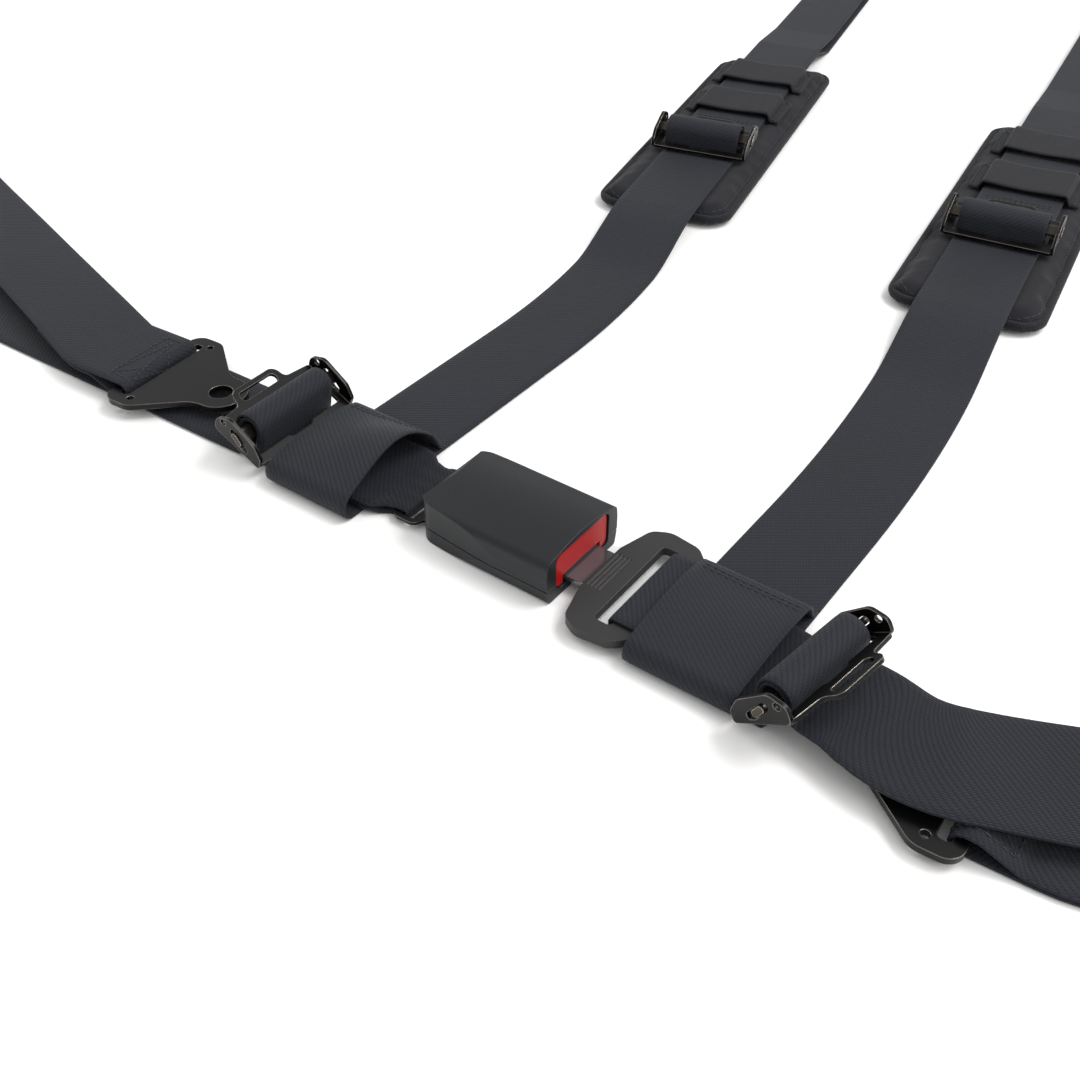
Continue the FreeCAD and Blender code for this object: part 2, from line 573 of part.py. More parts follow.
def left_lap_belt():
    bar = REAR_PLATE_END + REAR_BAR / 2
    heading = 180 + LEFT_LAP_TURN
    low = TABLE_GAP + WEB_THICKNESS / 2
    reach = bar - LEFT_BAR_X
    top = FRAME_BASE_LOW + FRAME_PLATE + 0.5 + WEB_THICKNESS / 2
    pieces = [ribbon(sewn_leg(reach, LEFT_BAR_Z, 13), WEB_WIDTH),
              ribbon(running_leg(reach, LEFT_BAR_Z, 13, top, low, 26), WEB_WIDTH),
              ribbon(buckle_loop(-4.9, low, top, 13.5), WEB_WIDTH)]
    half, pinched = WEB_WIDTH / 2 + 1, PINCHED_WEB_WIDTH / 2
    pinch = slab([(-20, -pinched, 0), (2, -pinched, 4), (12, -half, 4), (400, -half, 0),
                  (400, half, 0), (12, half, 4), (2, pinched, 4), (-20, pinched, 0)], -5, 60)
    pieces = [placed(stood_up(piece).common(pinch), bar, 0, 0, heading) for piece in pieces]
    leave = world_point(bar, heading, reach + 25)
    corner = world_point(bar, heading, bar - LEFT_FOLD[0] - 139.75)
    pieces.append(flat_ribbon([(*leave, 0), (*corner, 300), (*LEFT_FOLD, 0)], low))
    px, py = LEFT_PLATE_BAR
    aim = math.radians(LEFT_PLATE_TURN)
    height = LEFT_PLATE_Z + BAR_LOOP
    near = (px + (PLATE_RUN_IN - 1) * math.cos(aim), py + (PLATE_RUN_IN - 1) * math.sin(aim))
    bend = (px + (PLATE_RUN_IN + 8) * math.cos(aim), py + (PLATE_RUN_IN + 8) * math.sin(aim))
    pieces.append(placed(bar_loop(1), px, py, LEFT_PLATE_Z, LEFT_PLATE_TURN))
    pieces.append(flat_ribbon([(*near, 0), (*bend, 40), (*LEFT_FOLD, 0)], height))
    back = bearing(bend, LEFT_FOLD)
    stop = (bend[0] + 40 * math.cos(math.radians(back)), bend[1] + 40 * math.sin(math.radians(back)))
    pieces.append(flat_ribbon([(*near, 0), (*bend, 40), (*stop, 0)], height - LAYER))
    away = bearing(corner, LEFT_FOLD)
    pieces.append(fold(*LEFT_FOLD, (back % 360 + away % 360) / 2, low, height))
    save("left_lap_belt", joined(*pieces))


def right_lap_belt():
    bar = TONGUE_SLOT_START + TONGUE_SLOT + 4.5
    corner = (RIGHT_LAP_BEND_X, 0.0)
    heading = bearing(corner, (RIGHT_BAR_X, RIGHT_BAR_Y))
    reach = math.hypot(RIGHT_BAR_X - corner[0], RIGHT_BAR_Y)
    low = TABLE_GAP + WEB_THICKNESS / 2
    under_sleeve = low + LAYER + 0.1
    top = TONGUE_COVER_HIGH + 0.4 + WEB_THICKNESS / 2
    upper = RIGHT_PLATE_Z + BAR_LOOP + LAYER + 0.3
    pieces = [placed(stood_up(ribbon(buckle_loop(-6.2, under_sleeve, top, corner[0] - bar - 6), WEB_WIDTH)),
                     bar, 0, 0, 0)]
    for leg in (sewn_leg(reach, RIGHT_BAR_Z, 6),
                running_leg(reach, RIGHT_BAR_Z, 6, top, upper, 24)):
        pieces.append(placed(stood_up(ribbon(leg, WEB_WIDTH)), *corner, 0, heading))
    entry = (corner[0] - 7, 0.0)
    angle = math.radians(heading)
    beyond = (corner[0] + 7 * math.cos(angle), 7 * math.sin(angle))
    for height in (under_sleeve, top):
        pieces.append(flat_ribbon([(*entry, 0), (*corner, 60), (*beyond, 0)], height))
    leave = (corner[0] + (reach + 17) * math.cos(angle), (reach + 17) * math.sin(angle))
    kink = (corner[0] + (reach + 23) * math.cos(angle), (reach + 23) * math.sin(angle))
    pieces.append(flat_ribbon([(*leave, 0), (*kink, 30), (*RIGHT_DIP, 60),
                               (*RIGHT_UPPER_BEND, 300), (*RIGHT_FOLD, 0)], upper))
    px, py = RIGHT_PLATE_BAR
    aim = math.radians(RIGHT_PLATE_TURN)
    height = RIGHT_PLATE_Z - BAR_LOOP
    near = (px + (PLATE_RUN_IN - 1) * math.cos(aim), py + (PLATE_RUN_IN - 1) * math.sin(aim))
    bend = (px + (PLATE_RUN_IN + 8) * math.cos(aim), py + (PLATE_RUN_IN + 8) * math.sin(aim))
    pieces.append(placed(bar_loop(-1), px, py, RIGHT_PLATE_Z, RIGHT_PLATE_TURN))
    pieces.append(flat_ribbon([(*near, 0), (*bend, 60), (*RIGHT_LOWER_BEND, 200),
                               (*RIGHT_FOLD, 0)], height))
    back = bearing(bend, RIGHT_LOWER_BEND)
    stop = (bend[0] + 40 * math.cos(math.radians(back)), bend[1] + 40 * math.sin(math.radians(back)))
    pieces.append(flat_ribbon([(*near, 0), (*bend, 60), (*stop, 0)], height + LAYER))
    turn = (bearing(RIGHT_UPPER_BEND, RIGHT_FOLD) + bearing(RIGHT_LOWER_BEND, RIGHT_FOLD)) / 2
    pieces.append(fold(*RIGHT_FOLD, turn, height, upper))
    save("right_lap_belt", joined(*pieces))


def lap_plate(name, bar, turn, z):
    angle = math.radians(turn)
    bolt = (bar[0] - PLATE_BAR_REACH * math.cos(angle), bar[1] - PLATE_BAR_REACH * math.sin(angle))
    save(name, placed(anchor_plate(), *bolt, z, turn))


def lap_hardware():
    bar = REAR_PLATE_END + REAR_BAR / 2
    x, y = world_point(bar, 180 + LEFT_LAP_TURN, bar - LEFT_BAR_X)
    adjuster("left_lap_adjuster", x, y, LEFT_BAR_Z, 180 + LEFT_LAP_TURN, LEFT_TILT)
    turn = bearing((RIGHT_LAP_BEND_X, 0), (RIGHT_BAR_X, RIGHT_BAR_Y))
    adjuster("right_lap_adjuster", RIGHT_BAR_X, RIGHT_BAR_Y, RIGHT_BAR_Z, turn, RIGHT_TILT)
    lap_plate("left_lap_anchor_plate", LEFT_PLATE_BAR, LEFT_PLATE_TURN, LEFT_PLATE_Z)
    lap_plate("right_lap_anchor_plate", RIGHT_PLATE_BAR, RIGHT_PLATE_TURN, RIGHT_PLATE_Z)


# ---------------------------------------------------------------- shoulder belts
def shoulder_frame(sleeve_x, turn, start, end):
    """Where the belt's bend ends: x, y and heading there, and the corner of the bend."""
    angle = math.radians(turn)
    radius = (end - start) / math.sin(angle)
    corner = start + radius * math.tan(angle / 2)
    return sleeve_x - radius * (1 - math.cos(angle)), end, 90 + turn, corner, radius


def shoulder_belt(name, place):
    sleeve_x, _, start, _ = place
    low = TABLE_GAP + WEB_THICKNESS / 2
    hem = low + LAYER
    sleeve = [(SLEEVE_FAR + 6.5, hem, 0), (SLEEVE_FAR + 3.5, hem, 2), (SLEEVE_FAR, SLEEVE_TOP, 4),
              (SLEEVE_NEAR, SLEEVE_TOP, 4.6), (SLEEVE_NEAR, low, 4.6), (start, low, 0)]
    wrap = placed(stood_up(ribbon(sleeve, WEB_WIDTH)), sleeve_x, 0, 0, 90)
    x, y, heading, corner, radius = shoulder_frame(*place)
    bend = flat_ribbon([(sleeve_x, start - 1, 0), (sleeve_x, corner, radius),
                        (*along_belt(x, y, heading, 1), 0)], low)
    z = SHOULDER_BAR_Z
    bar = ADJUSTER_RUN
    on_pad = PAD_LIFT + WEB_THICKNESS / 2
    doubled = on_pad + LAYER
    pad_end = PAD_RUN + PAD_LENGTH
    plate = PLATE_RUN + BAR_LOOP
    line = [(0, low, 0), (6, low, 10), (19, on_pad, 8), (bar - ROLL_OUTER + 0.2, on_pad, 2.2),
            (bar - ROLL_OUTER, z + ROLL_OUTER, 7.0), (bar + ROLL_OUTER, z + ROLL_OUTER, 7.4),
            (bar + ROLL_OUTER + 0.4, doubled, 4), (pad_end + PAD_TRAVEL + 12, doubled, 20),
            (pad_end + PAD_TRAVEL + 62, SHOULDER_PLATE_Z + BAR_LOOP, 20),
            (plate, SHOULDER_PLATE_Z + BAR_LOOP, BAR_LOOP * 0.98),
            (plate, SHOULDER_PLATE_Z - BAR_LOOP, BAR_LOOP * 0.98),
            (pad_end + PAD_TRAVEL + 48, SHOULDER_PLATE_Z - BAR_LOOP, 20),
            (pad_end + PAD_TRAVEL + 10, on_pad, 20),
            (bar + ROLL_INNER + 0.4, on_pad, 3.6), (bar + ROLL_INNER, z + ROLL_INNER, 5.7),
            (bar - ROLL_INNER, z + ROLL_INNER, 5.9), (bar - ROLL_INNER, z - ROLL_INNER + 0.5, 5.4),
            (bar + 0.4, z - ROLL_INNER + 0.5, 0)]
    run = placed(stood_up(ribbon(line, WEB_WIDTH)), x, y, 0, heading)
    save(name, joined(wrap, bend, run))


def along_belt(x, y, heading, run):
    angle = math.radians(heading)
    return x + run * math.cos(angle), y + run * math.sin(angle)


def shoulder_hardware(side, place):
    x, y, heading, _, _ = shoulder_frame(*place)
    adjuster(side + "_shoulder_adjuster", *along_belt(x, y, heading, ADJUSTER_RUN),
             SHOULDER_BAR_Z, heading, SHOULDER_TILT)
    bolt = along_belt(x, y, heading, PLATE_RUN + PLATE_BAR_REACH)
    save(side + "_shoulder_anchor_plate",
         placed(anchor_plate(), *bolt, SHOULDER_PLATE_Z, heading + 180))


def pad(side, place):
    """Soft pad under the shoulder belt, with the two keepers that hold it to the belt."""
    x, y, heading, _, _ = shoulder_frame(*place)
    half = PAD_WIDTH / 2
    start, end = PAD_RUN, PAD_RUN + PAD_LENGTH
    low, high = TABLE_GAP, TABLE_GAP + PAD_THICKNESS
    outer = slab(rectangle(start, end, -half, half, 12), low, high)
    core = slab(rectangle(start + 5, end - 5, -half + 5, half - 5, 9), low + PAD_SKIN,
                high - PAD_SKIN)
    room = slab(rectangle(start + 4.9, end - 4.9, -half + 4.9, half - 4.9, 9.1),
                low + PAD_SKIN - 0.05, high - PAD_SKIN + 0.05)
    save(side + "_pad_cover", placed(outer.cut(room), x, y, 0, heading))
    save(side + "_pad_foam", placed(core, x, y, 0, heading))
    top = high + WEB_THICKNESS * 2 + LAYER + 2.2
    foot = WEB_WIDTH / 2 + 9
    sewn = high + WEB_THICKNESS / 2 + 0.1
    arch = [(-foot, sewn, 0), (-foot + 6, sewn, 1.5), (-foot + 8, top, 2),
            (foot - 8, top, 2), (foot - 6, sewn, 1.5), (foot, sewn, 0)]
    keeper = turned(stood_up(ribbon(arch, 38)), V(), UP, 90)
    keepers = [placed(keeper.translated(V(run, 0, 0)), x, y, 0, heading)
               for run in (start + 165, start + 225)]
    save(side + "_pad_keepers", *keepers)


# ---------------------------------------------------------------- the whole harness
os.makedirs("parts", exist_ok=True)
buckle_shells()
buckle_frame()
press_button()
latch_mechanism()
tongue()
left_lap_belt()
right_lap_belt()
lap_hardware()
for side, place in (("left", LEFT_SHOULDER), ("right", RIGHT_SHOULDER)):
    shoulder_belt(side + "_shoulder_belt", place)
    shoulder_hardware(side, place)
    pad(side, place)
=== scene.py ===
# %% [markdown]
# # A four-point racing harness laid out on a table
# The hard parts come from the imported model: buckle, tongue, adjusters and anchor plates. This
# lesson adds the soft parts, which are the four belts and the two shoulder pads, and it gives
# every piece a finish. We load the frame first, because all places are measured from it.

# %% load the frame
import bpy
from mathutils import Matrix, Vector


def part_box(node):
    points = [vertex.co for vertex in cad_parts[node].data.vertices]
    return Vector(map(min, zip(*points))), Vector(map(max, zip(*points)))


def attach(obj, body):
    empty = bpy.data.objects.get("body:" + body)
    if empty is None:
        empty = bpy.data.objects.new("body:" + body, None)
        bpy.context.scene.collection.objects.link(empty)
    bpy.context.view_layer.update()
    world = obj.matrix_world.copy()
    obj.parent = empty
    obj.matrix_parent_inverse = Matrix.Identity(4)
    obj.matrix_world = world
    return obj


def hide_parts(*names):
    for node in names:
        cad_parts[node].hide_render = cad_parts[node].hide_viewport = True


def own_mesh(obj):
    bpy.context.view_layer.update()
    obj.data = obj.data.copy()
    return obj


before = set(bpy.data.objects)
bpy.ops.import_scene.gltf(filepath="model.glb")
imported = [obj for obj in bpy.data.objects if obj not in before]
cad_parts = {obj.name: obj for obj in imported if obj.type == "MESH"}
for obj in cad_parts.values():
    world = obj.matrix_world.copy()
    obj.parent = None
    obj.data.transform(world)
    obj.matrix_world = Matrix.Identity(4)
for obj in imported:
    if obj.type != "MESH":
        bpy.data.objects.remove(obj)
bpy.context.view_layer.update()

import math
import bpy
import bmesh
from mathutils import Vector

# %% [markdown]
# ## The view
# The harness is seen from above the buckle, with the tongue towards the lower right. A camera
# with a normal lens gives the same perspective as standing over a table.

# %% camera
camera_data = bpy.data.cameras.new("view")
camera_data.lens = 41.32
camera_data.sensor_width = 36.0
camera_data.clip_start = 0.02
camera = bpy.data.objects.new("view", camera_data)
camera.location = (0.24666, -0.31682, 0.33878)
camera.rotation_euler = (math.radians(49.86), 0.0, math.radians(36.37))
bpy.context.scene.collection.objects.link(camera)
bpy.context.scene.camera = camera
print("camera stands", round(camera.location.length, 3), "m from the buckle")

# %% [markdown]
# ## Shader maths as Python
# A finish is a small formula over the surface: yarns repeat, dust is patchy, edges are worn.
# Writing each Math node by hand hides the formula, so one small class wraps a socket and lets
# Python's operators make the nodes. Colours and vectors have their own nodes, so they keep
# their three numbers.

# %% a socket with operators, and a finish that owns the nodes
class Wire:
    def __init__(self, finish, socket):
        self.finish = finish
        self.socket = socket

    def maths(self, operation, *others):
        return self.finish.maths(operation, self, *others)

    def __add__(self, other):
        return self.maths("ADD", other)

    def __mul__(self, other):
        return self.maths("MULTIPLY", other)

    def __sub__(self, other):
        return self.maths("SUBTRACT", other)

    def __rsub__(self, other):
        return self.finish.maths("SUBTRACT", other, self)

    def __truediv__(self, other):
        return self.maths("DIVIDE", other)

    def __pow__(self, other):
        return self.maths("POWER", other)

    def __gt__(self, other):
        return self.maths("GREATER_THAN", other)

    def __abs__(self):
        return self.maths("ABSOLUTE")

    __radd__ = __add__
    __rmul__ = __mul__


class Finish:
    """A material, its shader, and one method that makes any other node."""

    def __init__(self, name, **constants):
        self.material = bpy.data.materials.new(name)
        self.material.use_nodes = True
        self.tree = self.material.node_tree
        self.shader = self.tree.nodes["Principled BSDF"]
        for socket, value in constants.items():
            self.shader.inputs[socket.replace("_", " ")].default_value = value

    def give(self, socket, value):
        if isinstance(value, Wire):
            self.tree.links.new(value.socket, socket)
        else:
            socket.default_value = value

    def node(self, kind, settings=None, inputs=None, out=0):
        made = self.tree.nodes.new("ShaderNode" + kind)
        for key, value in (settings or {}).items():
            if key == "stops":
                ramp = made.color_ramp.elements
                while len(ramp) < len(value):
                    ramp.new(0.5)
                for element, (place, colour) in zip(ramp, value):
                    element.position = place
                    element.color = colour
            else:
                setattr(made, key, value)
        for key, value in (inputs or {}).items():
            self.give(made.inputs[key], value)
        return Wire(self, made.outputs[out])

    def maths(self, operation, *values):
        return self.node("Math", {"operation": operation}, dict(enumerate(values)))

    def mixed(self, mask, low, high):
        return self.node("Mix", {"data_type": "RGBA"}, {0: mask, 6: low, 7: high}, out=2)

    def surface(self, **wires):
        for socket, value in wires.items():
            self.give(self.shader.inputs[socket.replace("_", " ")], value)
        return self.material

    def cloud(self, place, scale, detail=3.0):
        return self.node("TexNoise", {}, {"Vector": place, "Scale": scale, "Detail": detail})

    def bumped(self, height, depth, strength=1.0, normal=None):
        inputs = {"Height": height, "Distance": depth, "Strength": strength}
        if normal is not None:
            inputs["Normal"] = normal
        return self.node("Bump", {}, inputs)


def colour(red, green, blue):
    """A screen colour from 0 to 255, as the linear light that a shader wants."""
    return tuple([(v / 255 / 12.92) if v < 10.3 else ((v / 255 + 0.055) / 1.055) ** 2.4
                  for v in (red, green, blue)] + [1.0])


print("shader maths ready")

# %% [markdown]
# ## Webbing
# Seat belt webbing is polyester yarn woven as a fine twill: each warp yarn floats over some weft
# yarns, one step further on in the next row, so faint diagonals run across the belt. An image would
# repeat and blur, so the yarns are a formula over two lengths in millimetres, across and along the
# belt, that the belt's mesh carries as a UV map. The cloth is nearly black and a little blue, and its
# yarn crowns get a lighter colour, a painted highlight where they would catch the light.

# %% the webbing finish
def webbing_finish(name, base, crown_highlight, twill, yarn=0.92, depth=0.00022):
    finish = Finish(name, Sheen_Weight=0.05, Sheen_Roughness=0.45, Specular_IOR_Level=0.2)
    lengths = finish.node("UVMap", {"uv_map": "lengths"})
    split = finish.node("SeparateXYZ", {}, {0: lengths})
    across = Wire(finish, split.socket)
    along = Wire(finish, split.socket.node.outputs[1])
    column = across / yarn
    number = column.maths("FLOOR")
    round_yarn = 1.0 - abs(column.maths("FRACT") * 2.0 - 1.0) ** 2.0
    float_over = (along / (yarn * 2.6) + number * twill).maths("FRACT")
    bump_along = (float_over * math.pi).maths("SINE") ** 0.6
    height = round_yarn * bump_along
    place = finish.node("TexCoord", out="Object")
    patches = finish.cloud(place, 26.0)
    fuzz = finish.cloud(place, 1500.0, 1.0)
    edge = abs(across) > 22.6
    # painted highlight: the colour is lighter on the yarn crowns by their height, mixed with random
    # patches and fuzz, and the belt's edges are a little lighter
    light = (height * 0.62 + fuzz * 0.2 + patches * 0.3 + edge * 0.08).maths("MINIMUM", 1.0)
    tint = finish.mixed(light, base, crown_highlight)
    rough = 0.62 + patches * 0.16 - height * 0.1
    normal = finish.bumped(height + fuzz * 0.18, depth)
    return finish.surface(Base_Color=tint, Roughness=rough, Normal=normal)


# the second colour of each webbing is its painted highlight on the yarn crowns
WEBBING = webbing_finish("webbing", colour(12, 13, 16), colour(42, 45, 53), 0.28)
TAPE = webbing_finish("binding_tape", colour(9, 9, 11), colour(32, 33, 38), 0.5, 0.7, 0.00016)
print("webbing made of", len(WEBBING.node_tree.nodes), "nodes")

# %% [markdown]
# ## Thread
# The seams are sewn in bonded polyester thread, which is smoother and shinier than the webbing.
# It is two strands twisted together, and a stripe pattern shows that twist.

# %% the thread finish
def thread_finish():
    finish = Finish("thread", Specular_IOR_Level=0.35)
    place = finish.node("TexCoord", out="Object")
    strands = finish.node("TexWave", {"bands_direction": "DIAGONAL"},
                          {"Vector": place, "Scale": 900.0, "Distortion": 0.6})
    tint = finish.mixed(strands, colour(16, 17, 20), colour(58, 61, 70))
    return finish.surface(Base_Color=tint, Roughness=0.42 + strands * 0.14)


THREAD = thread_finish()
print("thread ready")

# %% [markdown]
# ## Moulded plastic
# The buckle's shells and the tongue's grip are moulded in filled nylon from a spark-eroded tool, so
# they have a fine even grain. A Bevel node finds the edges: where the rounded normal differs from the
# flat one, there is an edge. There the colour is lightened in patches as a painted highlight, and
# handling polishes the edges, which lowers their roughness.

# %% a mask for worn and highlit edges, and the plastic finish
def worn_and_highlit_edge(finish, radius):
    # this edge mask drives a painted edge highlight as well as real edge wear
    rounded = finish.node("Bevel", {"samples": 6}, {"Radius": radius})
    flat = finish.node("NewGeometry", out="Normal")
    match = finish.node("VectorMath", {"operation": "DOT_PRODUCT"}, {0: rounded, 1: flat}, out=1)
    return rounded, ((1.0 - match) * 5.0).maths("MINIMUM", 1.0)


def plastic_finish(name, base, edge_highlight, grain, rough, radius=0.0007):
    finish = Finish(name, Specular_IOR_Level=0.28)
    place = finish.node("TexCoord", out="Object")
    rounded, edge = worn_and_highlit_edge(finish, radius)
    spark = finish.cloud(place, grain, 2.0)
    patches = finish.cloud(place, 55.0)
    # painted highlight: the colour is lighter at the edges, in patches; the same mask lowers the
    # roughness there as polish
    wear = (edge * (0.35 + patches)).maths("MINIMUM", 1.0)
    tint = finish.mixed(wear * 0.55 + spark * 0.12, base, edge_highlight)
    normal = finish.bumped(spark, 0.00006, 0.9, rounded)
    return finish.surface(Base_Color=tint, Normal=normal,
                          Roughness=rough + patches * 0.12 - wear * 0.12)


# the second colour of each plastic is its painted edge highlight
HOUSING = plastic_finish("housing", colour(22, 24, 27), colour(72, 74, 79), 1700.0, 0.36)
GRIP = plastic_finish("tongue_moulding", colour(40, 40, 40), colour(92, 92, 92), 1500.0, 0.4)
BUTTON = plastic_finish("button", colour(164, 6, 6), colour(220, 44, 36), 900.0, 0.3)
INNER = plastic_finish("dark_plastic", colour(18, 19, 20), colour(50, 51, 54), 1400.0, 0.5)
print("four plastics ready")

# %% [markdown]
# ## Steel
# The adjusters and plates are stamped steel with a black coating, which is thin on the corners, so
# bare metal shows there. The same edge mask also lightens the edges of every steel as a painted
# highlight. The blade and the latch are bright nickel with fine scratches.

# %% the steel finishes
def steel_finish(name, coat, bare_and_highlight, rough, cover=1.0, radius=0.0006):
    finish = Finish(name, Specular_IOR_Level=0.55)
    place = finish.node("TexCoord", out="Object")
    rounded, edge = worn_and_highlit_edge(finish, radius)
    stretched = finish.node("Mapping", {}, {"Vector": place, "Scale": (40.0, 900.0, 300.0)})
    scratches = finish.cloud(stretched, 1.0, 2.0)
    patches = finish.cloud(place, 120.0)
    # edges: bare metal where the coating is worn, and a painted highlight, also on the bright nickel
    # that has no coating
    chips_and_edge_highlight = (edge * (0.25 + patches * 1.1) * cover).maths("MINIMUM", 1.0)
    tint = finish.mixed(chips_and_edge_highlight, coat, bare_and_highlight)
    normal = finish.bumped(scratches + patches * 0.5, 0.00003, 0.6, rounded)
    return finish.surface(Base_Color=tint, Normal=normal, Metallic=0.72 + chips_and_edge_highlight * 0.28,
                          Roughness=rough + scratches * 0.16 - chips_and_edge_highlight * 0.08)


# the second colour is bare metal at worn corners and a painted edge highlight
DARK_STEEL = steel_finish("dark_steel", colour(24, 24, 25), colour(170, 163, 152), 0.24)
BAR_STEEL = steel_finish("bar_steel", colour(64, 58, 52), colour(208, 198, 182), 0.18)
BRIGHT_STEEL = steel_finish("bright_steel", colour(112, 112, 116), colour(200, 200, 200), 0.06)
SPRING_STEEL = steel_finish("spring_steel", colour(120, 116, 110), colour(200, 196, 190), 0.26)
print("four steels ready")

# %% [markdown]
# ## Finishes for the hard parts
# The record says which material slot each CAD part belongs to. Each part keeps its mesh and
# only its material is exchanged.

# %% dress the hard parts
FINISH_OF = {
    "upper_shell": HOUSING, "lower_shell": HOUSING, "press_button": BUTTON,
    "tongue_cover": GRIP, "ejector": INNER, "buckle_frame": DARK_STEEL,
    "latch_pawl": BRIGHT_STEEL, "latch_pin": BRIGHT_STEEL, "tongue_plate": BRIGHT_STEEL,
    "latch_spring": SPRING_STEEL, "button_springs": SPRING_STEEL, "ejector_spring": SPRING_STEEL,
}
SIDES = ("left", "right")
for side in SIDES:
    for belt in ("lap", "shoulder"):
        FINISH_OF[f"{side}_{belt}_adjuster_frame"] = DARK_STEEL
        FINISH_OF[f"{side}_{belt}_adjuster_slide_bar"] = BAR_STEEL
        FINISH_OF[f"{side}_{belt}_anchor_plate"] = DARK_STEEL


def wear(piece, finish):
    if not piece.material_slots:
        piece.data.materials.append(finish)
    for slot in piece.material_slots:
        slot.material = finish


for name, finish in FINISH_OF.items():
    wear(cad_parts[name], finish)
print(len(FINISH_OF), "hard parts dressed")

# %% [markdown]
# ## Coil springs
# A coil spring is the one hard part that changes shape when the buckle works: the button and the
# ejector press their springs together. A CAD part keeps its mesh, so a copy of it stands in for it.

# %% button and ejector springs
def shortening(node, travel):
    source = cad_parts[node]
    piece = bpy.data.objects.new(f"{node}_coils", source.data.copy())
    bpy.context.scene.collection.objects.link(piece)
    wear(piece, SPRING_STEEL)
    low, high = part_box(node)
    length = high[0] - low[0]
    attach(piece, "left_half")
    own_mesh(piece)
    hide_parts(node)
    print(piece.name, "is", round(length * 1000, 1), "mm and shortens by", travel * 1000)


shortening("button_springs", 0.005)
shortening("ejector_spring", 0.008)

# %% [markdown]
# ## The line a belt follows
# A belt is one long strip: it starts as a sewn end, goes round a bar, folds, and comes back. Its
# middle line is a chain of stops in millimetres from the buckle's mouth, with a radius at each.
# Besides the line it needs the way its width points, so each stop also has a heading. Upright
# stretches wind round bars in one vertical plane, and flat stretches turn on the table.

# %% stops along a belt
MOUTH = 35.0   # mm from the origin to the buckle's mouth


def on_heading(start, heading, run):
    angle = math.radians(heading)
    return (start[0] + run * math.cos(angle), start[1] + run * math.sin(angle))


def bearing(start, end):
    return math.degrees(math.atan2(end[1] - start[1], end[0] - start[0]))


class Route:
    def __init__(self):
        self.stops = []

    def upright(self, start, heading, points):
        for run, height, radius in points:
            x, y = on_heading(start, heading, run)
            self.stops.append((Vector((x, y, height)), radius, heading))
        return self

    def flat(self, height, points, back=False):
        for i, (x, y, radius) in enumerate(points):
            j = min(i, len(points) - 2)
            heading = bearing(points[j], points[j + 1]) + (180.0 if back else 0.0)
            self.stops.append((Vector((x, y, height)), radius, heading))
        return self

    def walked(self, step=5.0):
        """Points every few millimetres, with the heading of each."""
        stops, line = self.stops, []
        for i, (corner, radius, heading) in enumerate(stops):
            if 0 < i < len(stops) - 1:
                before, after = corner - stops[i - 1][0], stops[i + 1][0] - corner
                turn = before.angle(after, 0.0)
                reach = min(radius * math.tan(turn / 2), before.length * 0.62,
                            after.length * 0.62) if turn > 1e-4 else 0.0
                previous = stops[i - 1][2]
                swing = (heading - previous + 180.0) % 360.0 - 180.0
                enter = corner - before.normalized() * reach
                leave = corner + after.normalized() * reach
                count = max(2, math.ceil(math.degrees(turn) / 10), math.ceil(reach * 2 / step))
                for k in range(count + 1):
                    t = k / count
                    a, b = enter.lerp(corner, t), corner.lerp(leave, t)
                    arc = a.lerp(b, t) if turn < 0.6 else round_corner(enter, corner, leave, turn, t)
                    line.append((arc, previous + swing * t))
            else:
                line.append((corner, heading))
        fine = [line[0]]
        for (p, h), (q, g) in zip(line, line[1:]):
            gap = (q - p).length
            if gap < 0.05:
                continue
            parts = max(1, math.ceil(gap / step))
            swing = (g - h + 180.0) % 360.0 - 180.0
            fine += [(p.lerp(q, k / parts), h + swing * k / parts) for k in range(1, parts + 1)]
        return eased(fine)


def eased(line, reach=4, passes=3):
    """The same line, with headings that change over a few centimetres and not at one stop."""
    headings = [line[0][1]]
    for _, heading in line[1:]:
        headings.append(headings[-1] + (heading - headings[-1] + 180.0) % 360.0 - 180.0)
    for _ in range(passes):
        headings = [sum(headings[max(0, i - reach):i + reach + 1]) /
                    len(headings[max(0, i - reach):i + reach + 1]) for i in range(len(line))]
    return [(point, heading) for (point, _), heading in zip(line, headings)]


def round_corner(enter, corner, leave, turn, t):
    """A point on the true arc that touches both runs."""
    reach = (enter - corner).length
    middle = (enter + leave) / 2
    if reach < 1e-6 or turn > 3.1:
        return enter.lerp(leave, t)
    towards = (middle - corner).normalized()
    centre = corner + towards * (reach / math.cos((math.pi - turn) / 2))
    a, b = enter - centre, leave - centre
    angle = a.angle(b, 0.0)
    if angle < 1e-5:
        return enter.lerp(leave, t)
    return centre + (a * math.sin((1 - t) * angle) + b * math.sin(t * angle)) / math.sin(angle)


print("route helper ready")

# %% [markdown]
# ## From the line to a belt
# The mesh is made ring by ring: a flat oval section, 48 mm by 1.4 mm, is carried along the line.
# A belt is never perfectly flat, so a function may lift each point a little. The two lengths of
# every point go into the UV map for the weave, and the belt keeps its line, so that seams can be
# sewn on it later by their place along and across it.

# %% a belt from its route
WEB = 48.0
THICK = 1.4
BELTS = {}


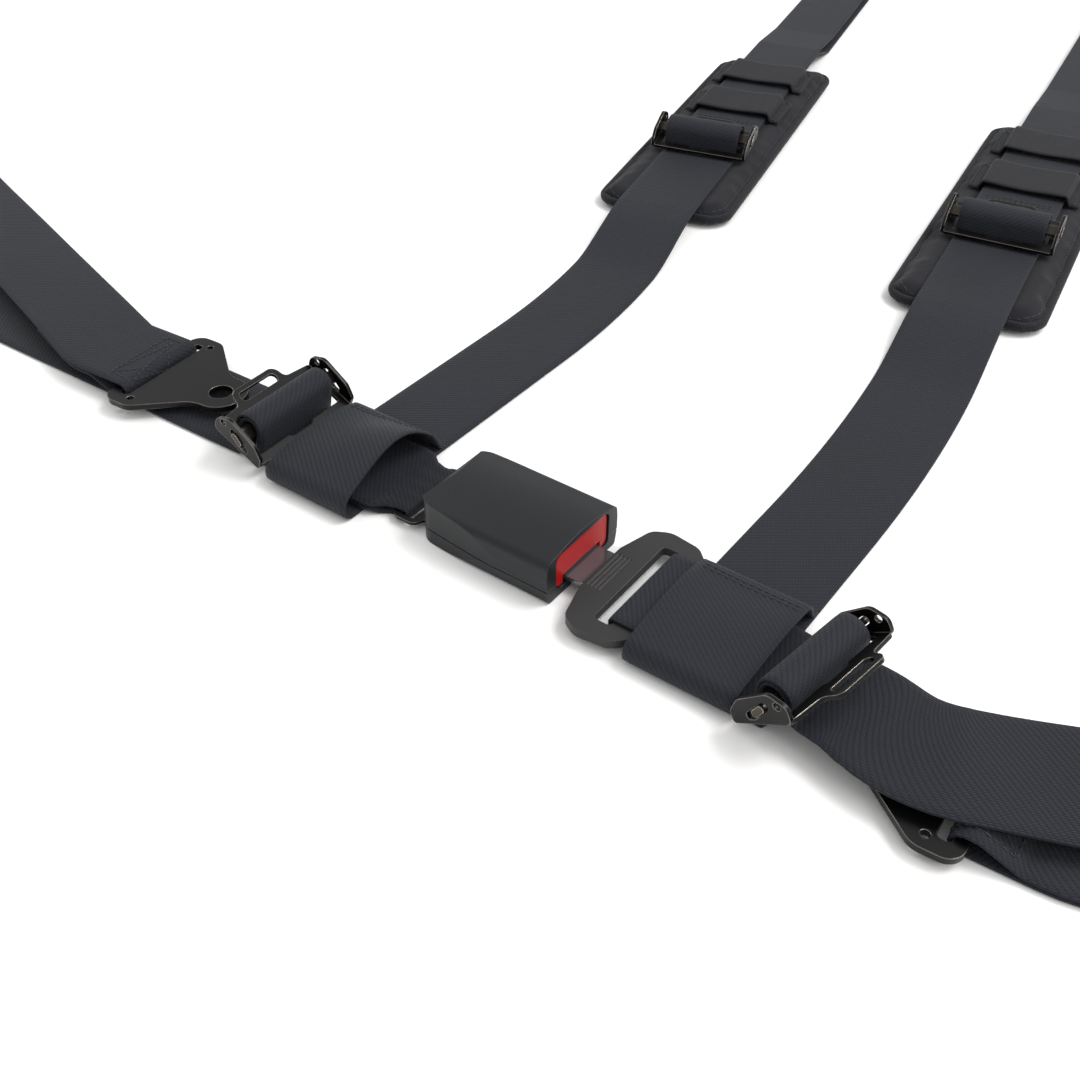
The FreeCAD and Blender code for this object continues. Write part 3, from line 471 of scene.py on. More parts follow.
class Belt:
    def __init__(self, name, body, route, finish, width=None, lift=None, web=WEB, columns=14):
        self.line = route.walked()
        self.web = web
        self.width = width or (lambda p, s: web)
        self.lift = lift or (lambda p, s, v: Vector((0, 0, 0)))
        self.runs = [0.0]
        for (p, _), (q, _) in zip(self.line, self.line[1:]):
            self.runs.append(self.runs[-1] + (q - p).length)
        self.length = self.runs[-1]
        self.piece = self.build(name, columns)
        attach(self.piece, body)
        wear(self.piece, finish)
        BELTS[name] = self

    def frame_at(self, i):
        last = len(self.line) - 1
        along = (self.line[min(i + 1, last)][0] - self.line[max(i - 1, 0)][0]).normalized()
        angle = math.radians(self.line[i][1])
        across = Vector((-math.sin(angle), math.cos(angle), 0))
        across = (across - along * across.dot(along)).normalized()
        return self.line[i][0], along, across, along.cross(across)

    def spot(self, i, v, above=0.0):
        """A place in metres: at line point i, v from -1 to 1 across, above the middle in mm."""
        p, along, across, up = self.frame_at(i)
        half = self.width(p, self.runs[i]) / 2
        place = p + across * (half * v) + up * above + self.lift(p, self.runs[i], v)
        return Vector(((place.x + MOUTH) / 1000, place.y / 1000, place.z / 1000))

    def at(self, run, v, above):
        for i in range(len(self.runs) - 1):
            if self.runs[i + 1] >= run:
                break
        t = (run - self.runs[i]) / max(self.runs[i + 1] - self.runs[i], 1e-6)
        return self.spot(i, v, above).lerp(self.spot(i + 1, v, above), min(max(t, 0.0), 1.0))

    def near(self, x, y, z):
        target = Vector((x, y, z))
        best = min(range(len(self.line)), key=lambda i: (self.line[i][0] - target).length)
        return self.runs[best]

    def build(self, name, columns):
        mesh = bmesh.new()
        lengths = mesh.loops.layers.uv.new("lengths")
        section = [(-1 + 2 * k / columns, 0.5) for k in range(columns + 1)]
        section[0], section[-1] = (-0.988, 0.42), (0.988, 0.42)
        ring = section + [(1.0, 0.0)] + [(v, -h) for v, h in reversed(section)] + [(-1.0, 0.0)]
        rows = [[mesh.verts.new(self.spot(i, v, h * THICK)) for v, h in ring]
                for i in range(len(self.line))]
        count = len(ring)
        for i in range(len(rows) - 1):
            for k in range(count):
                n = (k + 1) % count
                face = mesh.faces.new((rows[i][k], rows[i][n], rows[i + 1][n], rows[i + 1][k]))
                face.smooth = True
                spots = ((k, i), (n, i), (n, i + 1), (k, i + 1))
                for loop, (column, row) in zip(face.loops, spots):
                    loop[lengths].uv = (ring[column][0] * self.web / 2, self.runs[row])
        for row in (rows[0], rows[-1]):
            mesh.faces.new(row)
        bmesh.ops.recalc_face_normals(mesh, faces=mesh.faces)
        data = bpy.data.meshes.new(name)
        mesh.to_mesh(data)
        mesh.free()
        piece = bpy.data.objects.new(name, data)
        bpy.context.scene.collection.objects.link(piece)
        return piece


print("belt builder ready")

# %% [markdown]
# ## Where the belts run
# These are the model's own dimensions: the bars that the belts go round, the heights of the
# layers, and the places where a belt folds back. A belt that lies on the table is 0.3 mm above
# it, and two layers are 1.8 mm apart.

# %% dimensions of the belts' routes
TABLE = 0.3
LAYER = THICK + 0.4
LOW = TABLE + THICK / 2
UNDER = LOW + LAYER + 0.1
INNER_ROLL, OUTER_ROLL, PLATE_ROLL = 6.0, 7.8, 4.0
BUCKLE_BAR = (-85.25, 0.0)
TONGUE_BAR = (35.2, 0.0)
LEFT_BAR, LEFT_BAR_Z, LEFT_HEADING = -165.0, 17.3, 181.75
RIGHT_BAR, RIGHT_BAR_Z, RIGHT_BEND = (105.9, -8.4), 18.0, (52.0, 0.0)
LEFT_TOP = 2.3 + 1.5 + 0.5 + THICK / 2
RIGHT_TOP = 7.9 + 0.4 + THICK / 2
LEFT_PLATE, LEFT_PLATE_Z, LEFT_PLATE_TURN = (-254.0, -6.5), TABLE + THICK + 5.2, 184.0
RIGHT_PLATE, RIGHT_PLATE_Z, RIGHT_PLATE_TURN = (176.0, -17.0), LOW + 4.0, 3.0
LEFT_FOLD, RIGHT_FOLD = (-590.0, 80.0), (402.0, 64.0)


def sewn_leg(bar, z, start):
    roll = INNER_ROLL
    return [(bar - 0.2, z - roll, 0), (bar + roll, z - roll, 5.6), (bar + roll, z + roll, 5.9),
            (bar - roll - 0.5, z + roll, 4.7), (bar - 0.8, LOW, 3.8), (bar - 6.5, LOW, 2),
            (bar - 12, UNDER, 3), (start, UNDER, 0)]


def running_leg(bar, z, start, height, exit_height, exit_run):
    second = LOW + LAYER
    over = second + LAYER + 0.5
    roll = OUTER_ROLL
    return [(start, height, 0), (bar - 24 - (height - over) * 3, height, 8), (bar - 22, over, 8),
            (bar - 12.5, over, 3), (bar - 7.5, second, 2), (bar - 3.0, second, 2.0),
            (bar - roll, z + roll, 5.9), (bar + roll, z + roll, 7.4),
            (bar + roll + 0.2, exit_height, 4), (bar + exit_run, exit_height, 0)]


def plate_loop(tail_side):
    """Belt end round a plate's bar; the tail meets the belt from one side."""
    r = PLATE_ROLL
    main, tail = r * tail_side, -r * tail_side
    meet = main - LAYER * tail_side
    return [(22.0, main, 0), (-r, main, r * 0.98), (-r, tail, r * 0.98), (6, tail, 4),
            (6 + 2.2 * abs(meet - tail), meet, 4), (22.0, meet, 0)]


def lifted(points, height):
    return [(u, z + height, r) for u, z, r in points]


print("layers at", [round(v, 2) for v in (LOW, UNDER, LEFT_TOP, RIGHT_TOP)])

# %% [markdown]
# ## The left lap belt
# It starts at its adjuster, where its end is sewn round the slide bar. It runs to the buckle,
# is gathered through the slot of the steel frame, comes back over itself, passes under the
# adjuster's frame and over the bar, and goes on to the anchor plate. There it folds back, because
# the harness is stored like that.

# %% left lap belt
reach = BUCKLE_BAR[0] - LEFT_BAR
left_leave = on_heading(BUCKLE_BAR, LEFT_HEADING, reach + 28)
left_corner = on_heading(BUCKLE_BAR, LEFT_HEADING, 365)
left_near = on_heading(LEFT_PLATE, LEFT_PLATE_TURN, 30)
left_away, left_back = bearing(left_corner, LEFT_FOLD), bearing(left_near, LEFT_FOLD)
left_high = LEFT_PLATE_Z + PLATE_ROLL
left_middle = (left_away % 360 + left_back % 360) / 2
left_tail = on_heading(left_near, left_back, 40)

route = Route().upright(BUCKLE_BAR, LEFT_HEADING, sewn_leg(reach, LEFT_BAR_Z, 14)[:-1])
route.upright(BUCKLE_BAR, LEFT_HEADING, [(12.5, UNDER, 3), (8.5, LOW, 3), (-4.9, LOW, 1.35),
                                         (-4.9, LEFT_TOP, 1.35)])
route.upright(BUCKLE_BAR, LEFT_HEADING,
              running_leg(reach, LEFT_BAR_Z, 13, LEFT_TOP, LOW, 26)[1:-1])
route.flat(LOW, [(*left_leave, 0), (*left_corner, 300), (*on_heading(LEFT_FOLD, left_away, -8), 4)])
bulge = (left_high - LOW) / 2
route.upright(LEFT_FOLD, left_middle, [(bulge, LOW, bulge * 0.98), (bulge, left_high, bulge * 0.98)])
route.flat(left_high, [(*on_heading(LEFT_FOLD, left_back, -8), 4), (*left_near, 40),
                       (*on_heading(LEFT_PLATE, LEFT_PLATE_TURN, 22.5), 0)], back=True)
route.upright(LEFT_PLATE, LEFT_PLATE_TURN, lifted(plate_loop(1)[1:-1], LEFT_PLATE_Z))
route.flat(left_high - LAYER, [(*on_heading(LEFT_PLATE, LEFT_PLATE_TURN, 22), 0),
                               (*left_near, 40), (*left_tail, 0)])


def gathered(p, s):
    """Full width, but pinched where the belt passes the buckle's slot."""
    away = math.hypot(p.x - BUCKLE_BAR[0], p.y)
    t = min(max((away - 3.0) / 11.0, 0.0), 1.0)
    return 34.5 + (WEB - 34.5) * t * t * (3 - 2 * t)


def left_lap_lift(p, s, v):
    away = math.hypot(p.x - BUCKLE_BAR[0], p.y)
    pleat = max(0.0, 1.0 - away / 16.0) * 0.35 * math.cos(v * 15.0)
    free = min(1.0, max(0.0, (-p.x - 300.0) / 60.0))
    wave = free * (0.5 + 0.5 * math.sin(p.x * 0.021)) * (1.2 * v * math.sin(p.x * 0.013))
    top = 1.0 if p.z > 7.0 else 0.0
    return Vector((0, 0, pleat + (abs(wave) + (0.8 - 0.8 * v * v) * free) * top))


left_lap = Belt("left_lap_webbing", "left_half", route, WEBBING, gathered, left_lap_lift)
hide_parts("left_lap_belt")
print("left lap belt", round(left_lap.length), "mm long")

# %% [markdown]
# ## The right lap belt
# The same strap on the other side is sewn round its adjuster's bar, loops through the slot of the
# tongue, and turns a little before the adjuster. Beyond it, the belt stands over the plate end
# that is tucked under it.

# %% right lap belt
right_heading = bearing(RIGHT_BEND, RIGHT_BAR)
reach = math.hypot(RIGHT_BAR[0] - RIGHT_BEND[0], RIGHT_BAR[1] - RIGHT_BEND[1])
right_upper = RIGHT_PLATE_Z + PLATE_ROLL + LAYER + 0.3
right_low = RIGHT_PLATE_Z - PLATE_ROLL
lower_bend, upper_bend = (285.0, 7.0), (296.0, 38.0)
right_near = on_heading(RIGHT_PLATE, RIGHT_PLATE_TURN, 30)
upper_away, lower_away = bearing(upper_bend, RIGHT_FOLD), bearing(lower_bend, RIGHT_FOLD)
right_tail = on_heading(right_near, bearing(right_near, lower_bend), 40)
slope_in = on_heading(RIGHT_BEND, right_heading, 7)
slope_out = on_heading(RIGHT_BEND, right_heading, reach + 17)
kink = on_heading(RIGHT_BEND, right_heading, reach + 23)

route = Route().upright(RIGHT_BEND, right_heading, sewn_leg(reach, RIGHT_BAR_Z, 7)[:-1])
route.flat(UNDER, [(*slope_in, 0), (*RIGHT_BEND, 60), (RIGHT_BEND[0] - 7, 0, 0)], back=True)
route.upright(TONGUE_BAR, 0.0, [(9, UNDER, 1), (-6.2, UNDER, 1.35), (-6.2, RIGHT_TOP, 1.35)])
route.flat(RIGHT_TOP, [(RIGHT_BEND[0] - 7, 0, 0), (*RIGHT_BEND, 60), (*slope_in, 0)])
route.upright(RIGHT_BEND, right_heading,
              running_leg(reach, RIGHT_BAR_Z, 7, RIGHT_TOP, right_upper, 24)[1:-2])
route.upright(RIGHT_BEND, right_heading, [(reach + OUTER_ROLL + 0.2, right_upper, 4)])
route.flat(right_upper, [(*slope_out, 0), (*kink, 30), (154.0, -20.5, 60), (*upper_bend, 300),
                         (*on_heading(RIGHT_FOLD, upper_away, -8), 4)])
bulge = (right_upper - right_low) / 2
route.upright(RIGHT_FOLD, (upper_away + lower_away) / 2,
              [(bulge, right_upper, bulge * 0.98), (bulge, right_low, bulge * 0.98)])
route.flat(right_low, [(*on_heading(RIGHT_FOLD, lower_away, -8), 4), (*lower_bend, 200),
                       (*right_near, 60),
                       (*on_heading(RIGHT_PLATE, RIGHT_PLATE_TURN, 22.5), 0)], back=True)
route.upright(RIGHT_PLATE, RIGHT_PLATE_TURN, lifted(plate_loop(-1)[1:-1], RIGHT_PLATE_Z))
route.flat(right_low + LAYER, [(*on_heading(RIGHT_PLATE, RIGHT_PLATE_TURN, 22), 0),
                               (*right_near, 60), (*right_tail, 0)])


def right_lap_lift(p, s, v):
    """The upper layer rises and leans over as it leaves the adjuster."""
    if p.z < 9.0 or p.x < 120.0:
        return Vector((0, 0, 0))
    t = min(1.0, (p.x - 120.0) / 45.0)
    fade = min(1.0, max(0.0, (395.0 - p.x) / 120.0))
    lean = t * fade * (4.2 * (0.5 + 0.5 * v) ** 1.4 + 1.0 * (1 - v * v))
    return Vector((0, 0, lean + t * fade * 0.5 * math.sin(p.x * 0.09 + v)))


right_lap = Belt("right_lap_webbing", "tongue_half", route, WEBBING, None, right_lap_lift)
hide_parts("right_lap_belt")
print("right lap belt", round(right_lap.length), "mm long")

# %% [markdown]
# ## The shoulder belts
# Each shoulder belt wraps round the doubled lap belt in a wide sewn sleeve, turns and runs away
# from the buckle. It passes up over the pad, under the shoulder adjuster and over its bar, and
# comes back doubled to the anchor plate. The sleeve stands open like a short tube where it is
# slack, mostly on the side of the buckle.

# %% shoulder belts
SLEEVE_TOP, SLEEVE_NEAR, SLEEVE_FAR = 10.9, -34.0, 26.5
PAD_LENGTH, PAD_WIDTH, PAD_HIGH, PAD_RUN, PAD_TRAVEL = 270.0, 86.0, 10.0, 24.0, 15.0
ON_PAD = TABLE + PAD_HIGH + 0.5
SHOULDER_BAR_Z = ON_PAD + THICK + 0.6 + 9.9
SHOULDER_PLATE_Z = LOW + PLATE_ROLL
BENDS = {"left": (-124.0, 12.5, 95.0, 270.0), "right": (65.6, 8.0, 40.0, 260.0)}
PUFF = {"left": (8.5, 0.55), "right": (3.2, -0.35)}
LEGS = {}


def shoulder_leg(sleeve_x, turn, start, end):
    angle = math.radians(turn)
    radius = (end - start) / math.sin(angle)
    leg = (sleeve_x - radius * (1 - math.cos(angle)), end)
    return leg, 90.0 + turn, start + radius * math.tan(angle / 2), radius


def shoulder_run(bar=110.0):
    z, inner, outer = SHOULDER_BAR_Z, INNER_ROLL, OUTER_ROLL
    on_pad = ON_PAD + THICK / 2
    doubled = on_pad + LAYER
    rest = PAD_RUN + PAD_LENGTH + PAD_TRAVEL
    plate, high, low = 640.0 + PLATE_ROLL, SHOULDER_PLATE_Z + PLATE_ROLL, LOW
    return [(6, LOW, 10), (19, on_pad, 8), (bar - outer + 0.2, on_pad, 2.2),
            (bar - outer, z + outer, 7.0), (bar + outer, z + outer, 7.4),
            (bar + outer + 0.4, doubled, 4), (rest + 12, doubled, 20), (rest + 62, high, 20),
            (plate, high, PLATE_ROLL * 0.98), (plate, low, PLATE_ROLL * 0.98),
            (rest + 48, low, 20), (rest + 10, on_pad, 20), (bar + inner + 0.4, on_pad, 3.6),
            (bar + inner, z + inner, 5.7), (bar - inner, z + inner, 5.9),
            (bar - inner, z - inner + 0.5, 5.4), (bar + 0.4, z - inner + 0.5, 0)]


def ramp(side, p):
    """Stiff webbing rises in a long curve on to the pad, well before the pad's edge."""
    leg, heading = LEGS[side]
    angle = math.radians(heading)
    run = (p.x - leg[0]) * math.cos(angle) + (p.y - leg[1]) * math.sin(angle)
    if p.z > 12.0 or run > 22.0:
        return 0.0
    t = min(1.0, max(0.0, (run + 50.0) / 72.0))
    return max(0.0, LOW + (ON_PAD + THICK / 2 - LOW) * t * t * (3 - 2 * t) - p.z)


def sleeve_lift(side):
    height, lean = PUFF[side]

    def lift(p, s, v):
        if p.y > 100.0:
            return Vector((0, 0, ramp(side, p)))
        if p.z < 7.5 or p.y > SLEEVE_FAR + 2.0:
            return Vector((0, 0, 0))
        t = min(1.0, max(0.0, (p.y - SLEEVE_NEAR) / (SLEEVE_FAR - SLEEVE_NEAR)))
        arch = math.sin(math.pi * t ** 1.25) ** 0.9
        slack = 1.0 + lean * -v
        crease = 0.5 * math.sin(v * 3.0 + t * 5.0) * arch
        return Vector((0, 0, arch * height * slack + crease))
    return lift


for side, body in (("left", "left_half"), ("right", "tongue_half")):
    sleeve_x, turn, start, end = BENDS[side]
    leg, heading, corner, radius = shoulder_leg(*BENDS[side])
    LEGS[side] = (leg, heading)
    hem = LOW + LAYER
    top = SLEEVE_TOP
    wrap = [(SLEEVE_FAR + 6.5, hem, 0), (SLEEVE_FAR + 3.5, hem, 2), (SLEEVE_FAR, top, 4),
            (SLEEVE_NEAR, top, 4.6), (SLEEVE_NEAR, LOW, 4.6)]
    route = Route().upright((sleeve_x, 0.0), 90.0, wrap)
    route.flat(LOW, [(sleeve_x, start - 1, 0), (sleeve_x, corner, radius), (*leg, 0)])
    route.upright(leg, heading, shoulder_run())
    belt = Belt(f"{side}_shoulder_webbing", body, route, WEBBING, None, sleeve_lift(side))
    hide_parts(f"{side}_shoulder_belt")
    print(side, "shoulder belt", round(belt.length), "mm long")

# %% [markdown]
# ## Seams
# Seams show how a harness is made: box seams hold the belt ends, and a row holds each hem. Every
# stitch is a short bead of thread that sinks into the cloth at both ends. A seam is a list of
# places along and across a belt, and the belt itself says where they are in space.

# %% stitches along a seam
def stitched(name, host, seams, pitch=3.1, side=1.0, size=0.34):
    """Beads of thread along polylines; host(a, b, above) gives a place in metres."""
    mesh = bmesh.new()
    count = 0
    for seam in seams:
        for (a0, b0), (a1, b1) in zip(seam, seam[1:]):
            run = math.hypot(a1 - a0, b1 - b0)
            total = max(1, int(run / pitch))
            for k in range(total):
                ends = []
                for t in ((k + 0.1) / total, (k + 0.86) / total):
                    a, b = a0 + (a1 - a0) * t, b0 + (b1 - b0) * t
                    ends.append((host(a, b, side * 0.72), host(a, b, side * 1.06)))
                count += bead(mesh, ends, size / 1000)
    data = bpy.data.meshes.new(name)
    mesh.to_mesh(data)
    mesh.free()
    piece = bpy.data.objects.new(name, data)
    bpy.context.scene.collection.objects.link(piece)
    wear(piece, THREAD)
    print(name, count, "stitches")
    return piece


def bead(mesh, ends, radius, sides=6):
    (low_a, high_a), (low_b, high_b) = ends
    along = (low_b - low_a)
    if along.length < 1e-6:
        return 0
    up = (high_a - low_a).normalized()
    across = along.normalized().cross(up)
    rings = []
    for t, wide, rise in ((0.0, 0.35, 0.0), (0.16, 0.85, 0.6), (0.5, 1.0, 1.0),
                          (0.84, 0.85, 0.6), (1.0, 0.35, 0.0)):
        middle = low_a.lerp(low_b, t).lerp(high_a.lerp(high_b, t), rise * 0.5)
        ring = []
        for k in range(sides):
            angle = 2 * math.pi * k / sides
            turn = across * math.cos(angle) + up * math.sin(angle)
            ring.append(mesh.verts.new(middle + turn * radius * wide))
        rings.append(ring)
    for first, second in zip(rings, rings[1:]):
        for k in range(sides):
            n = (k + 1) % sides
            mesh.faces.new((first[k], first[n], second[n], second[k])).smooth = True
    mesh.faces.new(rings[0][::-1])
    mesh.faces.new(rings[-1])
    return 1


def across_belt(belt):
    """Places on a belt from run in mm and millimetres across."""
    return lambda run, wide, above: belt.at(run, wide / (WEB / 2), above)


def box_seam(start, end, half):
    return [[(start, -half), (end, -half), (end, half), (start, half), (start, -half)],
            [(start, -half), (end, half)], [(start, half), (end, -half)]]


print("seam tools ready")

# %% [markdown]
# ## Sewing the belts
# A box seam closes the loop at each anchor plate, with a zigzag inside it on the left lap belt. A
# double row crosses each shoulder belt beside its slide bar, and two rows follow the hem where the
# sleeve is closed.

# %% seams on the belts
def zigzag(start, end, half, turns):
    points = []
    for k in range(turns + 1):
        run = start + (end - start) * k / turns
        points.append((run, -half if k % 2 else half))
    return [points]


def seam_on(name, belt, body, seams, side):
    piece = stitched(name, across_belt(belt), seams, side=side)
    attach(piece, body)
    return piece


bar_end = left_lap.near(*on_heading(LEFT_PLATE, LEFT_PLATE_TURN, 20), left_high)
seams = box_seam(bar_end - 44, bar_end - 4, 19) + zigzag(bar_end - 44, bar_end - 4, 17, 6)
seam_on("left_lap_plate_seam", left_lap, "left_half", seams, -1.0)
bar_end = right_lap.near(*on_heading(RIGHT_PLATE, RIGHT_PLATE_TURN, 20), right_low)
seams = box_seam(bar_end - 42, bar_end - 4, 19)
seam_on("right_lap_plate_seam", right_lap, "tongue_half", seams, 1.0)

for side, body in (("left", "left_half"), ("right", "tongue_half")):
    belt = BELTS[f"{side}_shoulder_webbing"]
    sleeve_x = BENDS[side][0]
    hem = belt.near(sleeve_x, SLEEVE_FAR - 1.0, SLEEVE_TOP)
    seams = [[(hem + 3.5, -21.5), (hem + 3.5, 21.5)], [(hem + 6.0, -21.5), (hem + 6.0, 21.5)]]
    seam_on(f"{side}_sleeve_seam", belt, body, seams, -1.0)
    leg, heading = LEGS[side]
    plate = belt.near(*on_heading(leg, heading, 610.0), SHOULDER_PLATE_Z + PLATE_ROLL)
    seam_on(f"{side}_shoulder_plate_seam", belt, body, box_seam(plate - 44, plate - 4, 19), 1.0)
    over = belt.near(*on_heading(leg, heading, 128.0), ON_PAD + THICK / 2 + LAYER)
    seam_on(f"{side}_shoulder_row", belt, body,
            [[(over + 30, -20), (over + 30, 20)], [(over + 33, -20), (over + 33, 20)]], 1.0)
print("belts sewn")

# %% [markdown]
# ## The shoulder pads
# A pad is a sheet of foam in a woven cover. It is crowned where it is free and pressed flat under
# the belt, and its sides pull in towards the binding. A cloth simulation swells a thinner blank
# to that shape, which gives softer corners than a bevel. A cap keeps each point near the blank,
# so the pad stays inside the space that the model gives it.

# %% the cover's finish
def cover_finish():
    finish = Finish("pad_fabric", Sheen_Weight=0.06, Sheen_Roughness=0.5,
                    Specular_IOR_Level=0.2)
    place = finish.node("TexCoord", out="Object")
    split = finish.node("SeparateXYZ", {}, {0: place})
    x, y = split, Wire(finish, split.socket.node.outputs[1])
    rows = (x * 3400.0).maths("SINE")
    columns = (y * 3400.0).maths("SINE")
    weave = (rows * columns) * 0.5 + 0.5
    fuzz = finish.cloud(place, 1200.0, 1.0)
    patches = finish.cloud(place, 30.0)
    light = (weave * 0.4 + fuzz * 0.35 + patches * 0.25).maths("MINIMUM", 1.0)
    tint = finish.mixed(light, colour(11, 11, 13), colour(36, 37, 43))
    normal = finish.bumped(weave + fuzz * 0.3 + patches * 2.0, 0.00018)
    return finish.surface(Base_Color=tint, Roughness=0.74 + patches * 0.16, Normal=normal)


COVER = cover_finish()
print("cover finish ready")

# %% the blank, the swelling and the cap
CORNER = 15.0
SWELL_CAP = 0.0042     # m that a point may move in the simulation
BINDING_HIGH = 0.0049  # m from the table to the middle of the pad's seam
PRESSED_TOP = 10.3     # mm, the pad's top under the belt
CROWN = 1.9            # mm that the free sides stand higher


def on_leg(side, run, aside, height):
    leg, heading = LEGS[side]
    x, y = on_heading(on_heading(leg, heading, run), heading + 90.0, aside)
    return Vector(((x + MOUTH) / 1000, y / 1000, height / 1000))


def pad_outline(inset, count=9):
    """Rounded rectangle of the pad, as places along and across its belt."""
    half, start, end = PAD_WIDTH / 2 - inset, PAD_RUN + inset, PAD_RUN + PAD_LENGTH - inset
    radius = CORNER - inset * 0.6
    points = []
    for cx, cy, first in ((end - radius, half - radius, 0), (start + radius, half - radius, 90),
                          (start + radius, -half + radius, 180), (end - radius, -half + radius, 270)):
        for k in range(count):
            angle = math.radians(first + 90 * k / (count - 1))
            points.append((cx + radius * math.cos(angle), cy + radius * math.sin(angle)))
    return points


def blank(side):
    """Thin block with rounded corners."""
    mesh = bmesh.new()
    outline = pad_outline(0.9)
    low = [mesh.verts.new(on_leg(side, a, b, 1.6)) for a, b in outline]
    high = [mesh.verts.new(on_leg(side, a, b, 8.0)) for a, b in outline]
    mesh.faces.new(low[::-1])
    mesh.faces.new(high)
    for k in range(len(low)):
        n = (k + 1) % len(low)
        mesh.faces.new((low[k], low[n], high[n], high[k]))
    data = bpy.data.meshes.new(f"{side}_pad")
    mesh.to_mesh(data)
    mesh.free()
    piece = bpy.data.objects.new(f"{side}_pad", data)
    bpy.context.scene.collection.objects.link(piece)
    return piece


def apply_modifiers(piece):
    graph = bpy.context.evaluated_depsgraph_get()
    data = bpy.data.meshes.new_from_object(piece.evaluated_get(graph), depsgraph=graph)
    piece.modifiers.clear()
    piece.data = data


def pad_place(side, point):
    """Along and across the pad's belt, in mm, for a place in metres."""
    leg, heading = LEGS[side]
    angle = math.radians(heading)
    x, y = point.x * 1000 - MOUTH - leg[0], point.y * 1000 - leg[1]
    return x * math.cos(angle) + y * math.sin(angle), -x * math.sin(angle) + y * math.cos(angle)


def swelled(side):
    piece = blank(side)
    remesh = piece.modifiers.new("remesh", "REMESH")
    remesh.mode = "VOXEL"
    remesh.voxel_size = 0.004
    apply_modifiers(piece)
    before = [v.co.copy() for v in piece.data.vertices]
    cloth = piece.modifiers.new("cloth", "CLOTH")
    cloth.settings.use_pressure = True
    cloth.settings.uniform_pressure_force = 4.0
    cloth.settings.effector_weights.gravity = 0.0
    scene = bpy.context.scene
    for step in range(1, 21):
        scene.frame_set(step)
    apply_modifiers(piece)
    scene.frame_set(1)
    shape_pad(side, piece, before)
    subdivide = piece.modifiers.new("smooth", "SUBSURF")
    subdivide.levels = subdivide.render_levels = 1
    apply_modifiers(piece)
    for face in piece.data.polygons:
        face.use_smooth = True
    return piece


def shape_pad(side, piece, before):
    """Cap the swelling, press the belt's path and the table side, and add slight puckers."""
    for vertex, start in zip(piece.data.vertices, before):
        move = vertex.co - start
        if move.length > SWELL_CAP:
            move *= SWELL_CAP / move.length
        a0, b0 = pad_place(side, start)
        edge = min(PAD_WIDTH / 2 - abs(b0), a0 - PAD_RUN, PAD_RUN + PAD_LENGTH - a0)
        pull = min(1.0, max(0.0, (edge - 1.0) / 7.0))
        point = Vector((start.x, start.y, 0.0)).lerp(start + move, pull)
        rise = start.z + move.z - BINDING_HIGH
        point.z = BINDING_HIGH + rise * (0.25 + 0.75 * pull)
        a, b = pad_place(side, point)
        rim = min(PAD_WIDTH / 2 - abs(b), a - PAD_RUN, PAD_RUN + PAD_LENGTH - a)
        pucker = 0.35 * math.sin(a * 0.42) * math.exp(-((rim - 5.0) / 5.0) ** 2)
        free = min(1.0, max(0.0, (abs(b) - 25.0) / 8.0))
        top = PRESSED_TOP + CROWN * free * min(1.0, rim / 9.0)
        height = point.z * 1000
        if height > 6.0:
            height = min(height + 1.6 * free * min(1.0, rim / 10.0) + pucker, top)
        vertex.co = Vector((point.x, point.y, max(height, 0.45) / 1000))


PADS = {}
for side in SIDES:
    pad = swelled(side)
    wear(pad, COVER)
    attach(pad, f"{side}_pad")
    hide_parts(f"{side}_pad_cover", f"{side}_pad_foam")
    PADS[side] = pad
    print(side, "pad", len(pad.data.vertices), "points")

# %% [markdown]
# ## Bound edges
# The pad's two faces meet in a seam that a folded tape covers. The tape is a flattened tube along the
# pad's outline, with a row of stitches near its inner edge on the upper face.

# %% binding tape and its stitches
def binding(side):
    outline = pad_outline(1.2, count=13)
    mesh = bmesh.new()
    rings = []
    count = len(outline)
    section = [(4.0, 1.25), (1.4, 2.05), (-0.7, 1.7), (-1.15, 0.0), (-0.7, -1.7), (1.4, -2.05),
               (4.0, -1.25)]
    for k, (a, b) in enumerate(outline):
        before, after = outline[k - 1], outline[(k + 1) % count]
        along = Vector((after[0] - before[0], after[1] - before[1])).normalized()
        inward = Vector((-along.y, along.x))
        ripple = 0.12 * math.sin(k * 1.7)
        rings.append([mesh.verts.new(on_leg(side, a + inward.x * i, b + inward.y * i,
                                            4.9 + (h * 1.25) + ripple)) for i, h in section])
    for k in range(count):
        n = (k + 1) % count
        for j in range(len(section)):
            m = (j + 1) % len(section)
            mesh.faces.new((rings[k][j], rings[n][j], rings[n][m], rings[k][m])).smooth = True
    bmesh.ops.recalc_face_normals(mesh, faces=mesh.faces)
    data = bpy.data.meshes.new(f"{side}_pad_binding")
    mesh.to_mesh(data)
    mesh.free()
    piece = bpy.data.objects.new(f"{side}_pad_binding", data)
    bpy.context.scene.collection.objects.link(piece)
    smooth = piece.modifiers.new("smooth", "SUBSURF")
    smooth.levels = smooth.render_levels = 1
    apply_modifiers(piece)
    return piece


def pad_top(side, a, b, above):
    """A place on the pad's upper face, found by a ray from above."""
    start = on_leg(side, a, b, 40.0)
    hit, place, normal, _ = PADS[side].ray_cast(start, Vector((0, 0, -1)))
    if not hit:
        return on_leg(side, a, b, 5.0 + above)
    return place + Vector((0, 0, above / 1000))


PAD_TAPE = cover_finish()
PAD_TAPE.name = "pad_tape"
for side in SIDES:
    tape = binding(side)
    wear(tape, PAD_TAPE)
    tape.parent = PADS[side]
    line = pad_outline(5.4, count=5)
    seam = stitched(f"{side}_pad_stitches",
                    lambda a, b, above, side=side: pad_top(side, a, b, (above - 0.72) * 0.6),
                    [line + line[:1]], pitch=3.4)
    seam.parent = PADS[side]
print("pads bound and sewn")
